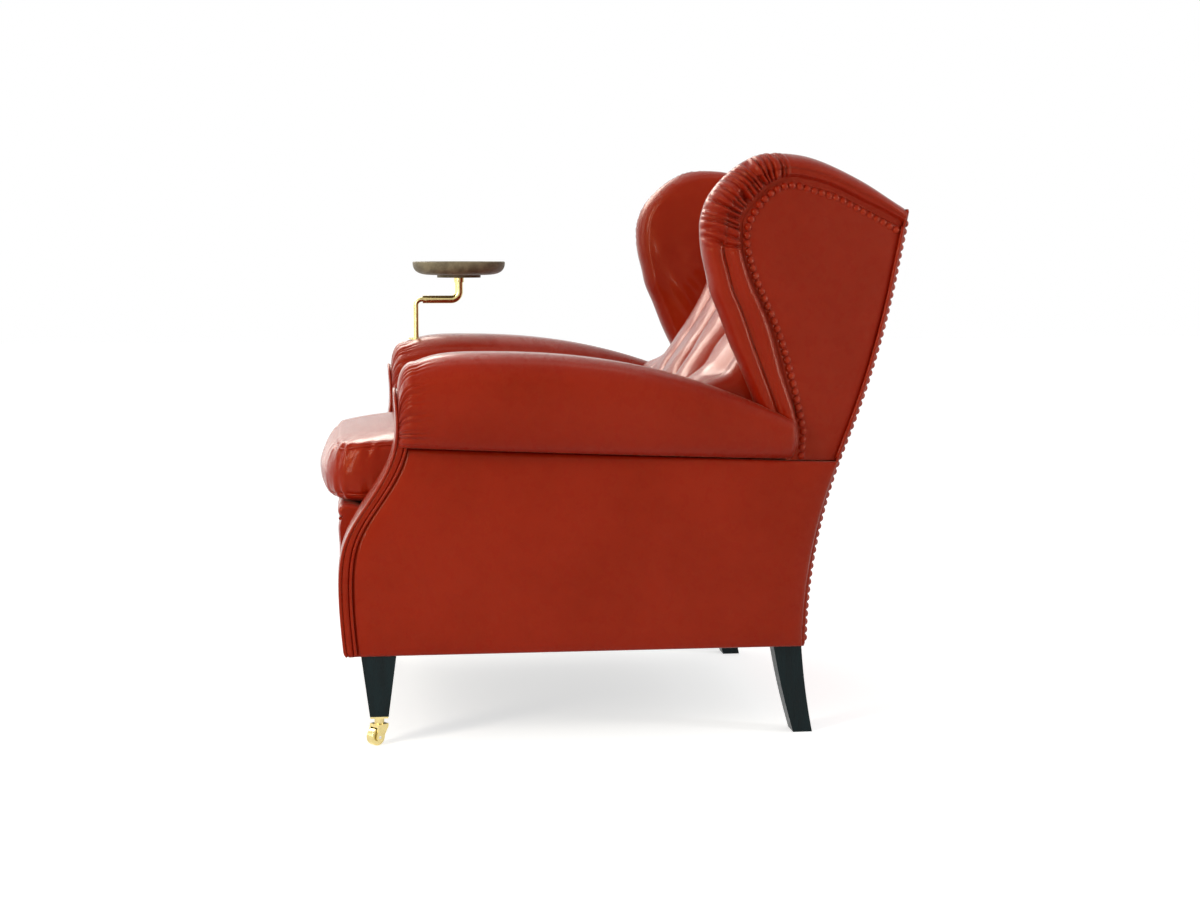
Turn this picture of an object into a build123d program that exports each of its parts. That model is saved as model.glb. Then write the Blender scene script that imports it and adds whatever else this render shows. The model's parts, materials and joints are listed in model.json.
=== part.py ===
from build123d import *

import math
import os

os.makedirs("parts", exist_ok=True)

# Overall sizes, in millimetres: X across with the left arm at +X, Y from front (-) to back, Z up
chair_width = 840
chair_depth = 970
chair_height = 950
hem_height = 150
deck_height = 382
seat_height = 518
arm_height = 635
back_height = 880
half_width = chair_width / 2
front_y = -chair_depth / 2
rear_y = chair_depth / 2

# Clearances, and one overrun that serves every cut
soft_gap = 0.3
fit_gap = 0.2
running_gap = 0.05
overrun = 5

# Arms, across the chair
arm_overhang = 48
arm_width = 158
roll_taper = 28
roll_front_taper = 8
lip_overhang = 14
base_half = half_width - arm_overhang
arm_inner = half_width - arm_width

# Front line of the base and arm, seen from the side
belly_setback = 38
arm_setback = 89
facing_drop = 58
facing_thick = 20
scroll_radius = 52
facing_top = arm_height - facing_drop
facing_front_y = front_y + belly_setback + arm_setback
arm_front_y = facing_front_y + facing_thick + soft_gap
front_line_shares = ((0.08, 0.0), (0.0, 0.26), (0.11, 0.43), (0.65, 0.62), (1.0, 0.78), (1.0, 1.0))

# Roll of the arm and the seam under it
roll_peak_setback = 139
roll_front_drop = 23
roll_rear_drop = 115
roll_rear_power = 2.3
roll_front_power = 3
seam_front_height = 484
seam_rear_height = 456
arm_rear_setback = 200
roll_peak_y = facing_front_y + roll_peak_setback
arm_rear_y = rear_y - arm_rear_setback
roll_station_shares = (-1.0, -0.73, 0.0, 0.25, 0.52, 0.72, 0.86, 1.0)
inner_arc_share = 0.45
outer_arc_share = 0.5

# Rear line: upright at the hem, leaning at the waist, less so at the top
waist_lean = 22.8
top_lean = 11.9
rear_corner_drop = 87
waist_rise_share = 0.463
upper_rise_share = 0.379
rear_rise = chair_height - rear_corner_drop - hem_height
waist_rise = rear_rise * waist_rise_share
upper_rise = rear_rise * upper_rise_share
last_rise = rear_rise - waist_rise - upper_rise
waist_sine = math.sin(math.radians(waist_lean))
waist_cosine = math.cos(math.radians(waist_lean))
top_sine = math.sin(math.radians(top_lean))
top_cosine = math.cos(math.radians(top_lean))
waist_radius = waist_rise / waist_sine
upper_radius = upper_rise / (waist_sine - top_sine)
waist_run = waist_radius * (1 - waist_cosine)
upper_run = upper_radius * (top_cosine - waist_cosine)
last_run = last_rise * top_sine / top_cosine
foot_y = rear_y - waist_run - upper_run - last_run

# Wings: plane, outline and the line of nails, as shares of reach and height
wing_splay = 11.07
wing_rear_inset = 88
wing_reach = 348
wing_base = 522
wing_thick = 60
border_proud = 6
wing_panel_thick = 5
wing_board_thick = 20
board_depth = border_proud + wing_panel_thick + wing_board_thick
rear_half_width = half_width - wing_rear_inset
wing_foot_shares = (0.572, 0.0)
wing_front_shares = ((0.69, 0.054), (0.802, 0.194), (0.917, 0.423), (1.0, 0.715), (0.92, 0.89), (0.632, 1.0))
wing_top_shares = (0.3, 0.945)
wing_corner_shares = (-0.04, 0.78)
nail_foot_shares = (0.552, -0.168)
nail_front_shares = (
    (0.54, -0.049), (0.58, 0.096), (0.67, 0.334), (0.807, 0.598),
    (0.822, 0.717), (0.773, 0.804), (0.647, 0.89), (0.532, 0.893),
)
nail_top_shares = ((0.345, 0.85), (0.046, 0.731))

# Timber
rail_thick = 30
side_rail_thick = 27
rail_height = 100
panel_thick = 8
back_panel_thick = 6
apron_depth = 23
post_width = 42
post_depth = 45
front_post_width = 45
front_post_depth = 45
front_post_setback = 5
arm_board_width = 56
arm_board_thick = 28
arm_board_front_drop = 95
arm_board_rear_drop = 127
back_rail_width = 46
back_rail_thick = 28
block_leg = 54
block_height = 60
dowel_radius = 5
dowel_length = 54

# Upholstery
inner_pad_thick = 27
deck_thick = 22
lip_radius = 11
webbing_thick = 2
cloth_thick = 1.5
strap_width = 50
strap_gap = 40
net_inset = 6
seat_depth = 606
back_pad_top_round = 26
lumbar_depth = 182
back_narrow_height = 600
lumbar_shares = (
    (0.0, 0.0), (0.0, 0.22), (0.04, 0.32), (0.13, 0.405), (0.36, 0.533), (0.52, 0.639), (0.63, 0.745),
    (0.72, 0.894), (0.92, 0.984), (1.3, 1.0),
)
spring_wire_radius = 2.3
spring_end_radius = 44
spring_waist_radius = 30
spring_turns = 5
spring_pitch = 160

# Tufting of the inner back: rows of buttons by height, joined and run out by pleats
button_radius = 11
button_thick = 6
button_dome_shares = (0.7, 0.72)
tuft_radius = 30
tuft_depth = 17
tuft_pitch = 116
tuft_rows = ((732, 4), (806, 5))
pleat_foot = 575
pleat_head = 862
pleat_width = 13
pleat_depth = 9

# Cushion
cushion_gap = 4
cushion_corner = 42
cushion_bulge = 16
side_draw = 5
cushion_top_round = 32
cushion_bottom_round = 28
crown_radius = 1250

# Legs
front_leg_top = 57
front_leg_foot = 30
front_foot_height = 48
front_leg_inset = 8.5
front_leg_setback = 71.5
rear_leg_width = 38
rear_leg_inset = 34
rear_leg_top_depth = 47
rear_leg_foot_depth = 32
rear_leg_rake = 35
rear_leg_setback = 1
leg_bow = 2.5
bolt_radius = 4
bolt_length = 84
bolt_share = 0.45
bolt_inset = 14

# Casters
plate_thick = 3
plate_size = 29
neck_radius = 8
stem_radius = 4
stem_length = 26
wheel_radius = 14
wheel_width = 15
wheel_round = 2
axle_radius = 2.5
caster_trail = 8
caster_turn = 40
fork_thick = 3
crown_thick = 5
crown_half = 10
horn_radius = 7
fork_side_gap = 0.7
fork_crown_gap = 1.5

# Tray
tray_inset = 83
post_setback = 56
tube_start = 13
screw_setback = 18
post_radius = 4.7
elbow_radius = 11
tube_radius = 7.5
tube_bend_radius = 15
tray_reach = 83
tube_overlap = 34
tray_tube_height = 702
dish_top = 775
dish_radius = 89
dish_foot_radius = 42
dish_foot_height = 5
dish_depth = 31
dish_wall = 5
dish_floor = 12
pin_length = 8
collar_radius = 9.5
collar_thick = 9
socket_radius = 8
socket_flange_radius = 15
socket_flange_thick = 2.5
socket_length = 100
socket_floor = 3
screw_radius = 2
screw_length = 4

# Nails
nail_radius = 6.4
nail_rise = 4.4
nail_dome_shares = (0.6, 0.74)
nail_pitch = 13.2
nail_edge = 8
back_nail_edge = 10
nail_step_share = 0.02


def rear_line_y(height):
    """Place of the rear line at a height."""
    rise = height - hem_height
    if rise <= waist_rise:
        return foot_y + waist_radius - math.sqrt(waist_radius**2 - rise**2)
    if rise <= waist_rise + upper_rise:
        sine = waist_sine - (rise - waist_rise) / upper_radius
        return foot_y + waist_run + upper_radius * (math.sqrt(1 - sine**2) - waist_cosine)
    past = rise - waist_rise - upper_rise
    return foot_y + waist_run + upper_run + past * top_sine / top_cosine


def rear_lean(height):
    """Lean of the rear line from upright at a height, in degrees."""
    run = rear_line_y(height + overrun) - rear_line_y(height - overrun)
    return math.degrees(math.atan2(run, 2 * overrun))


def rear_line(shift):
    """The rear line in a YZ sketch, moved along Y; gives its two ends."""
    start = (foot_y + shift, hem_height - overrun)
    foot = Line(start, (foot_y + shift, hem_height))
    lower = JernArc(start=foot @ 1, tangent=(0, 1), radius=waist_radius, arc_size=-waist_lean)
    upper = JernArc(start=lower @ 1, tangent=lower % 1, radius=upper_radius, arc_size=waist_lean - top_lean)
    end = upper @ 1 + (upper % 1) * (rear_corner_drop + last_rise) / top_cosine
    Line(upper @ 1, end)
    return start, end


def rear_band(front_shift, back_shift):
    """Face between two copies of the rear line, in a YZ sketch."""
    with BuildLine() as outline:
        front_start, front_end = rear_line(front_shift)
        back_start, back_end = rear_line(back_shift)
        Line(front_start, back_start)
        Line(front_end, back_end)
    make_face(outline.edges())


def front_line(shift):
    """S line of the arm front in a YZ sketch, moved along Y."""
    rise = facing_top - hem_height
    places = []
    for back, up in front_line_shares:
        places.append((front_y + belly_setback + arm_setback * back + shift, hem_height + rise * up))
    return Spline(*places, tangents=[(-0.1, 1), (0, 1)])


def wing_place(shares, inset=0):
    """Point of the wing plane from its shares, moved back and down by an inset."""
    back, up = shares
    along = -back * wing_reach / math.cos(math.radians(wing_splay))
    return along + inset, wing_base + up * (chair_height - wing_base) - inset


def keep_wing_slab(outer, inner):
    """Keep what lies between two depths below the wing's outer plane."""
    with BuildSketch(wing_plane.offset(-inner)) as sheet:
        Rectangle(2 * chair_depth, 2 * chair_height)
    extrude(sheet.sketch, amount=inner - outer, mode=Mode.INTERSECT)


def keep_heights(low, high):
    """Keep what lies between two heights."""
    with BuildSketch(Plane.XY.offset(low)) as sheet:
        Rectangle(2 * chair_width, 2 * chair_depth)
    extrude(sheet.sketch, amount=high - low, mode=Mode.INTERSECT)


def seam_height(y):
    """Height of the seam under the arm roll at a place along the arm."""
    share = (y - arm_front_y) / (foot_y - arm_front_y)
    return seam_front_height + (seam_rear_height - seam_front_height) * share


def arm_board_top(y):
    """Height of the arm board's upper face at a place along the arm."""
    share = (y - arm_front_y) / (foot_y - arm_front_y)
    drop = arm_board_front_drop + (arm_board_rear_drop - arm_board_front_drop) * share
    return arm_height - drop


def box_between(low, high):
    """Add a block between two corners."""
    size = [top - bottom for bottom, top in zip(low, high)]
    with Locations(tuple((bottom + top) / 2 for bottom, top in zip(low, high))):
        Box(*size)


wing_plane = Plane(
    origin=(rear_half_width, rear_y, 0),
    x_dir=(-math.sin(math.radians(wing_splay)), math.cos(math.radians(wing_splay)), 0),
    z_dir=(math.cos(math.radians(wing_splay)), math.sin(math.radians(wing_splay)), 0),
)
post_front_shift = -back_panel_thick - post_depth

# Cutters: all that lies behind the back panel's front face, and behind the front of the posts
with BuildPart() as behind_panel:
    with BuildSketch(Plane.YZ.offset(-half_width)):
        rear_band(-back_panel_thick, chair_depth / 2)
    extrude(amount=chair_width)

with BuildPart() as behind_posts:
    with BuildSketch(Plane.YZ.offset(-half_width)):
        rear_band(post_front_shift, chair_depth / 2)
    extrude(amount=chair_width)
    keep_heights(hem_height - overrun, back_height - back_pad_top_round)

# Places of the timber
frame_bottom = hem_height + webbing_thick + cloth_thick
rail_top = frame_bottom + rail_height
rail_middle = frame_bottom + rail_height / 2
rail_outer = base_half - panel_thick
rail_inner = rail_outer - side_rail_thick
front_rail_front = front_y + belly_setback + apron_depth
front_rail_back = front_rail_front + rail_thick
rear_rail_front = foot_y - post_depth - back_panel_thick
rear_rail_back = rear_rail_front + rail_thick
post_inner_depth = board_depth + post_width
post_top = back_height - back_pad_top_round
front_post_y = arm_front_y + front_post_setback
arm_board_outer = rail_inner + arm_board_width / 3
arm_board_inner = arm_board_outer - arm_board_width

# Dowels, each a centre and a direction, the same on both sides
lower_back_rail_height = deck_height + back_rail_width / 2
upper_back_rail_height = post_top - back_rail_width / 2


def post_inner_x(y):
    """Inner face of the back post at a place along the chair."""
    splay = math.radians(wing_splay)
    return rear_half_width + (rear_y - y) * math.tan(splay) - post_inner_depth / math.cos(splay)


dowel_places = []
for lift in (-rail_height / 4, rail_height / 4):
    dowel_places.append(((rail_inner + side_rail_thick / 2, front_rail_back, rail_middle + lift), (0, 1, 0)))
    rear_middle = (rear_rail_front + rear_rail_back) / 2
    dowel_places.append(((post_inner_x(rear_middle), rear_middle, rail_middle + lift), (1, 0, 0)))
front_post_x = rail_inner - front_post_width / 2
arm_joint_y = front_post_y + front_post_depth / 2
dowel_places.append(
    ((front_post_x + overrun, arm_joint_y, arm_board_top(arm_joint_y) - arm_board_thick), (0, 0, 1))
)
arm_end_height = arm_board_top(arm_rear_y) - arm_board_thick / 2
arm_end_y = rear_line_y(arm_end_height) + post_front_shift
dowel_places.append(((arm_board_inner + arm_board_width / 3, arm_end_y, arm_end_height), (0, 1, 0)))
for height in (lower_back_rail_height, upper_back_rail_height):
    rail_y = rear_line_y(height) + post_front_shift + back_rail_thick / 2
    dowel_places.append(((post_inner_x(rail_y), rail_y, height), (1, 0, 0)))

with BuildPart() as frame_dowels:
    for (x, y, z), direction in dowel_places:
        for side in (1, -1):
            with BuildSketch(Plane(origin=(side * x, y, z), z_dir=direction)):
                Circle(dowel_radius)
            extrude(amount=dowel_length / 2, both=True)

# Places of the legs and the bolts that hold them
front_leg_x = base_half - front_leg_inset - front_leg_top / 2
front_leg_y = front_y + front_leg_setback + front_leg_top / 2
rear_leg_x = base_half - rear_leg_inset - rear_leg_width / 2
rear_leg_back = foot_y - rear_leg_setback
rear_leg_front = rear_leg_back - rear_leg_top_depth
rear_bolt_y = rear_leg_back - bolt_inset - 2 * bolt_radius
with BuildPart() as leg_bolts:
    for side in (1, -1):
        for place in ((front_leg_x - bolt_inset, front_leg_y + bolt_inset), (rear_leg_x, rear_bolt_y)):
            with BuildSketch(Plane.XY.offset(frame_bottom - bolt_share * bolt_length)):
                with Locations((side * place[0], place[1])):
                    Circle(bolt_radius)
            extrude(amount=bolt_length)

# Back posts follow the rear line and lie against the inner face of the wing boards
with BuildPart() as left_back_post:
    with BuildSketch(Plane.YZ.offset(arm_inner)):
        rear_band(post_front_shift, -back_panel_thick)
    extrude(amount=arm_width)
    keep_wing_slab(board_depth, post_inner_depth)
    keep_heights(frame_bottom, post_top)
    with BuildSketch(Plane.XY.offset(frame_bottom)):
        with Locations((rail_inner + arm_width / 2, foot_y)):
            Rectangle(arm_width, chair_depth)
    extrude(amount=rail_height, mode=Mode.SUBTRACT)
    add([frame_dowels.part, leg_bolts.part], mode=Mode.SUBTRACT)

# Rails round the seat
with BuildPart() as front_seat_rail:
    box_between((-rail_outer, front_rail_front, frame_bottom), (rail_outer, front_rail_back, rail_top))
    add(frame_dowels.part, mode=Mode.SUBTRACT)

with BuildPart() as left_seat_rail:
    box_between(
        (rail_inner, front_rail_back, frame_bottom),
        (rail_outer, foot_y - back_panel_thick - soft_gap, rail_top),
    )
    add(frame_dowels.part, mode=Mode.SUBTRACT)

with BuildPart() as right_back_post:
    mirror(left_back_post.part, about=Plane.YZ)

with BuildPart() as rear_seat_rail:
    box_between((-rail_inner, rear_rail_front, frame_bottom), (rail_inner, rear_rail_back, rail_top))
    add([left_back_post.part, right_back_post.part], mode=Mode.SUBTRACT)
    add([frame_dowels.part, leg_bolts.part], mode=Mode.SUBTRACT)

# Corner blocks glued and screwed inside the seat frame
block_x = rail_inner - block_leg
with BuildPart() as corner_blocks:
    for side in (1, -1):
        for corner_y, inward in ((front_rail_back, 1), (rear_rail_front, -1)):
            with BuildSketch(Plane.XY.offset(frame_bottom)):
                with BuildLine():
                    Polyline(
                        (side * rail_inner, corner_y),
                        (side * block_x, corner_y),
                        (side * rail_inner, corner_y + inward * block_leg),
                        close=True,
                    )
                make_face()
            extrude(amount=block_height)
    add([left_back_post.part, right_back_post.part, leg_bolts.part], mode=Mode.SUBTRACT)

# Arm board on top of the front post, housed against the back post
with BuildPart() as left_arm_rail:
    with BuildSketch(Plane.YZ.offset(arm_board_inner)):
        with BuildLine():
            Polyline(
                (front_post_y, arm_board_top(front_post_y)),
                (rear_y, arm_board_top(rear_y)),
                (rear_y, arm_board_top(rear_y) - arm_board_thick),
                (front_post_y, arm_board_top(front_post_y) - arm_board_thick),
                close=True,
            )
        make_face()
    extrude(amount=arm_board_width)
    add(behind_posts.part, mode=Mode.SUBTRACT)
    keep_wing_slab(border_proud + wing_panel_thick + soft_gap, chair_width)
    add(frame_dowels.part, mode=Mode.SUBTRACT)

with BuildPart() as left_front_post:
    box_between(
        (rail_inner - front_post_width, front_post_y, frame_bottom),
        (rail_inner, front_post_y + front_post_depth, arm_board_top(front_post_y)),
    )
    add(left_arm_rail.part, mode=Mode.SUBTRACT)
    keep_heights(frame_bottom, arm_board_top(front_post_y) - arm_board_thick)
    add(frame_dowels.part, mode=Mode.SUBTRACT)

# Rails across the back, set to the lean between them so the webbing lies flat on both
lower_rail_y = rear_line_y(lower_back_rail_height) + post_front_shift
upper_rail_y = rear_line_y(upper_back_rail_height) + post_front_shift
back_run = upper_rail_y - lower_rail_y
back_rise = upper_back_rail_height - lower_back_rail_height
back_length = math.hypot(back_run, back_rise)
back_normal = (0, -back_rise / back_length, back_run / back_length)
back_plane = Plane(origin=(0, lower_rail_y, lower_back_rail_height), x_dir=(1, 0, 0), z_dir=back_normal)
back_rails = []
for middle in (0, back_length):
    with BuildPart() as back_rail:
        with BuildSketch(back_plane):
            with Locations((rail_inner / 2, middle)):
                Rectangle(rail_inner, back_rail_width)
        extrude(amount=-back_rail_thick)
        keep_wing_slab(post_inner_depth, chair_width)
        mirror(about=Plane.YZ)
        add(frame_dowels.part, mode=Mode.SUBTRACT)
    back_rails.append(back_rail)
back_lower_rail, back_top_rail = back_rails

# Wing boards fill the pockets of the wing pads from outside
with BuildPart() as wing_pocket:
    with BuildSketch(wing_plane):
        with BuildLine():
            foot = wing_place(nail_foot_shares)
            curve = Spline(*[wing_place(shares) for shares in nail_front_shares])
            crest = Polyline(curve @ 1, *[wing_place(shares) for shares in nail_top_shares])
            exit_point = (2 * overrun, (crest @ 1).Y - overrun)
            Polyline(curve @ 0, foot, (2 * overrun, foot[1]), exit_point, crest @ 1)
        make_face()
    extrude(amount=-board_depth)

with BuildPart() as left_wing_frame:
    add(wing_pocket.part.moved(Location((0, soft_gap, -soft_gap))))
    keep_wing_slab(border_proud + wing_panel_thick, board_depth)
    keep_heights(arm_board_top(arm_rear_y) + soft_gap, chair_height)
    add(behind_panel.part, mode=Mode.SUBTRACT)

with BuildPart() as left_wing_panel:
    add(wing_pocket.part.moved(Location((0, soft_gap, -soft_gap))))
    keep_wing_slab(border_proud, border_proud + wing_panel_thick)
    keep_heights(seam_rear_height, chair_height)
    add(behind_panel.part, mode=Mode.SUBTRACT)


def wing_outline():
    """Face of the whole wing in a sketch on the wing plane."""
    with BuildLine() as outline:
        curve = Spline(
            *[wing_place(shares) for shares in wing_front_shares],
            tangents=[(-0.5, 1), (1, 0)],
        )
        top = ThreePointArc(curve @ 1, wing_place(wing_top_shares), wing_place(wing_corner_shares))
        low_back = (wing_place(wing_corner_shares)[0], wing_base)
        Polyline(top @ 1, low_back, wing_place(wing_foot_shares), curve @ 0)
    make_face(outline.edges())


# Wing pads: a padded sheet inside, and a proud border round the front and top
with BuildPart() as left_wing_pad:
    with BuildSketch(wing_plane):
        wing_outline()
    extrude(amount=-wing_thick)
    add(wing_pocket.part, mode=Mode.SUBTRACT)
    add(behind_panel.part, mode=Mode.SUBTRACT)
    add([left_back_post.part, left_wing_frame.part, frame_dowels.part], mode=Mode.SUBTRACT)

# Arm pads: the roll over the arm board and the padded wall down to the seat
slot_inner = arm_inner + inner_pad_thick
slot_outer = arm_board_outer + fit_gap
pad_bottom = deck_height + deck_thick / 4


def roll_size(share):
    """Place along the arm, top height and outer half width of the roll at a station."""
    if share < 0:
        y = roll_peak_y + share * (roll_peak_y - arm_front_y)
        drop = roll_front_drop * (-share) ** roll_front_power
        return y, arm_height - drop, half_width - roll_front_taper * share**2
    y = roll_peak_y + share * (arm_rear_y - roll_peak_y)
    drop = roll_rear_drop * share**roll_rear_power
    return y, arm_height - drop, half_width - roll_taper * share**2


with BuildPart() as left_arm_pad:
    for share in roll_station_shares:
        y, top, outer = roll_size(share)
        seam = seam_height(y)
        inner_arc = inner_arc_share * (top - seam)
        outer_arc = outer_arc_share * (top - seam)
        wall = arm_board_outer - fit_gap
        with BuildSketch(Plane.XZ.offset(-y)):
            with BuildLine():
                Line((arm_inner, pad_bottom), (arm_inner, top - inner_arc))
                TangentArc((arm_inner, top - inner_arc), (arm_inner + inner_arc, top), tangent=(0, 1))
                Line((arm_inner + inner_arc, top), (outer - outer_arc, top))
                TangentArc((outer - outer_arc, top), (outer, top - outer_arc), tangent=(1, 0))
                TangentArc((outer, top - outer_arc), (base_half + lip_overhang, seam), tangent=(0, -1))
                Polyline((base_half + lip_overhang, seam), (wall, seam), (wall, pad_bottom), (arm_inner, pad_bottom))
            make_face()
    loft()
    with BuildSketch(Plane.YZ.offset(slot_inner)):
        with BuildLine():
            Polyline(
                (arm_front_y - overrun, pad_bottom - overrun),
                (arm_rear_y + overrun, pad_bottom - overrun),
                (arm_rear_y + overrun, arm_board_top(arm_rear_y + overrun) + fit_gap),
                (arm_front_y - overrun, arm_board_top(arm_front_y - overrun) + fit_gap),
                close=True,
            )
        make_face()
    extrude(amount=slot_outer - slot_inner, mode=Mode.SUBTRACT)
    add([left_wing_pad.part, left_wing_frame.part, back_lower_rail.part], mode=Mode.SUBTRACT)

# Side panels below the seam, from the arm front to the back panel
with BuildPart() as left_side_panel:
    with BuildSketch(Plane.YZ.offset(rail_outer)):
        with BuildLine():
            front = front_line(facing_thick + soft_gap)
            Polyline(front @ 1, (rear_y, facing_top), (rear_y, hem_height), front @ 0)
        make_face()
        with BuildLine():
            Polyline(
                (front_y, seam_height(front_y)),
                (2 * rear_y, seam_height(2 * rear_y)),
                (2 * rear_y, chair_height),
                (front_y, chair_height),
                close=True,
            )
        make_face(mode=Mode.SUBTRACT)
    extrude(amount=panel_thick)
    add(behind_panel.part, mode=Mode.SUBTRACT)

# Arm facings: S-curved padded boards with a scroll at the top
scroll_x = (arm_inner + half_width) / 2
scroll_height = facing_top - scroll_radius
with BuildPart() as left_arm_facing:
    with BuildSketch(Plane.YZ.offset(arm_inner)):
        with BuildLine():
            front = front_line(0)
            back = front_line(facing_thick)
            Line(front @ 0, back @ 0)
            Line(front @ 1, back @ 1)
        make_face()
    extrude(amount=arm_width)
    with BuildSketch(Plane.XZ):
        with BuildLine():
            Polyline(
                (arm_inner, hem_height),
                (base_half, hem_height),
                (base_half, seam_front_height),
                (scroll_x + scroll_radius, scroll_height),
            )
            crown = RadiusArc(
                (scroll_x + scroll_radius, scroll_height), (scroll_x - scroll_radius, scroll_height), -scroll_radius
            )
            Polyline(crown @ 1, (arm_inner, seam_front_height - scroll_radius), (arm_inner, hem_height))
        make_face()
    extrude(amount=chair_depth, mode=Mode.INTERSECT)
    add([front_seat_rail.part, left_arm_pad.part], mode=Mode.SUBTRACT)

# Front apron between the facings, with the lip of the seat on top
apron_half = arm_inner - soft_gap
apron_top = deck_height - 2 * lip_radius
with BuildPart() as front_apron:
    with BuildSketch(Plane.YZ.offset(-apron_half)):
        with BuildLine():
            bottom = (front_y + belly_setback + arm_setback * front_line_shares[0][0], hem_height)
            middle = (front_y + belly_setback, (hem_height + apron_top) / 2)
            top = (front_y + belly_setback, apron_top)
            TangentArc(top, bottom, tangent=(0, -1))
            Polyline(top, (front_rail_front, apron_top), (front_rail_front, hem_height), bottom)
        make_face()
    extrude(amount=2 * apron_half)

lip_y = front_y + belly_setback + lip_radius
with BuildPart() as front_lip:
    with BuildSketch(Plane.YZ.offset(-apron_half)):
        with Locations((lip_y, apron_top + lip_radius)):
            Circle(lip_radius)
        with Locations((lip_y + lip_radius, apron_top + lip_radius)):
            Rectangle(2 * lip_radius, 2 * lip_radius)
    extrude(amount=2 * apron_half)

# Seat platform over the springs
deck_front = lip_y + 2 * lip_radius
deck_rear = front_y + seat_depth
deck_bottom = deck_height - deck_thick
with BuildPart() as seat_deck:
    box_between((-apron_half, deck_front, deck_bottom), (apron_half, deck_rear, deck_height))

# Webbing under the rails, and the bottom cloth under the webbing
net_front = front_rail_front + net_inset
net_rear = rear_rail_back - net_inset
net_half_width = rail_outer - net_inset
net_half_depth = (net_rear - net_front) / 2
net_middle = (net_rear + net_front) / 2
strap_step = strap_width + strap_gap


def net_holes(length, breadth):
    """Grid of square gaps between crossing straps, in a sketch."""
    across = int((length - strap_width) / strap_step)
    along = int((breadth - strap_width) / strap_step)
    with GridLocations(strap_step, strap_step, across, along):
        Rectangle(strap_gap, strap_gap, mode=Mode.SUBTRACT)


def leg_corners():
    """Corners left open for the tops of the legs, in a sketch."""
    front_across = rail_outer - front_leg_x + front_leg_top / 2 + soft_gap
    front_along = front_leg_y + front_leg_top / 2 + soft_gap - net_front
    rear_across = rail_outer - rear_leg_x + rear_leg_width / 2 + soft_gap
    rear_along = net_rear - rear_leg_front + soft_gap
    for side in (1, -1):
        with Locations((side * rail_outer, net_front)):
            Rectangle(2 * front_across, 2 * front_along, mode=Mode.SUBTRACT)
        with Locations((side * rail_outer, net_rear)):
            Rectangle(2 * rear_across, 2 * rear_along, mode=Mode.SUBTRACT)


with BuildPart() as seat_webbing:
    with BuildSketch(Plane.XY.offset(frame_bottom - webbing_thick)):
        with Locations((0, net_middle)):
            Rectangle(2 * net_half_width, 2 * net_half_depth)
        with Locations((0, net_middle)):
            net_holes(2 * rail_inner, 2 * net_half_depth - 2 * rail_thick)
        leg_corners()
    extrude(amount=webbing_thick)

with BuildPart() as bottom_cloth:
    with BuildSketch(Plane.XY.offset(frame_bottom - webbing_thick - cloth_thick)):
        with Locations((0, net_middle)):
            Rectangle(2 * net_half_width, 2 * net_half_depth)
        leg_corners()
    extrude(amount=cloth_thick)

# Coil springs, hourglass shaped, standing on the webbing


def spring_point(turn, x, y, low, high):
    """Point on the spring's centre line after a number of turns."""
    share = turn / spring_turns
    radius = spring_waist_radius + (spring_end_radius - spring_waist_radius) * (2 * share - 1) ** 2
    angle = 2 * math.pi * turn
    return Vector(x + radius * math.cos(angle), y + radius * math.sin(angle), low + (high - low) * share)


def spring_solid(x, y, low, high):
    """One unbroken tube along the spring, on paired arcs of a quarter turn."""
    steps = 4 * spring_turns
    nudge = 1 / 1000
    points = [spring_point(k / 4, x, y, low, high) for k in range(steps + 1)]
    tangents = []
    for k in range(steps + 1):
        ahead = spring_point(k / 4 + nudge, x, y, low, high)
        behind = spring_point(k / 4 - nudge, x, y, low, high)
        tangents.append((ahead - behind).normalized())
    with BuildPart() as spring:
        with BuildLine() as path:
            for k in range(steps):
                chord = points[k + 1] - points[k]
                both = tangents[k] + tangents[k + 1]
                spread = 2 * (1 - tangents[k].dot(tangents[k + 1]))
                root = math.sqrt(chord.dot(both) ** 2 + spread * chord.dot(chord))
                reach = (root - chord.dot(both)) / spread
                start_guide = points[k] + tangents[k] * reach
                end_guide = points[k + 1] - tangents[k + 1] * reach
                joint = (start_guide + end_guide) / 2
                TangentArc(points[k], joint, tangent=tangents[k])
                TangentArc(joint, points[k + 1], tangent=end_guide - start_guide)
        with BuildSketch(Plane(origin=points[0], z_dir=tangents[0])):
            Circle(spring_wire_radius)
        sweep()
    return spring.part


spring_low = frame_bottom + spring_wire_radius
spring_high = deck_bottom - spring_wire_radius
spring_middle_y = (front_rail_back + deck_rear) / 2 - spring_end_radius / 2
spring_least_gap = (spring_high - spring_low) / spring_turns - 2 * spring_wire_radius
print("least gap between spring turns", round(spring_least_gap, 1))
spring_solids = []
for column in (-1, 0, 1):
    for row in (-1, 0, 1):
        spring_solids.append(
            spring_solid(column * spring_pitch, spring_middle_y + row * spring_pitch, spring_low, spring_high).solid()
        )
seat_springs = Compound(children=spring_solids)

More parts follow.
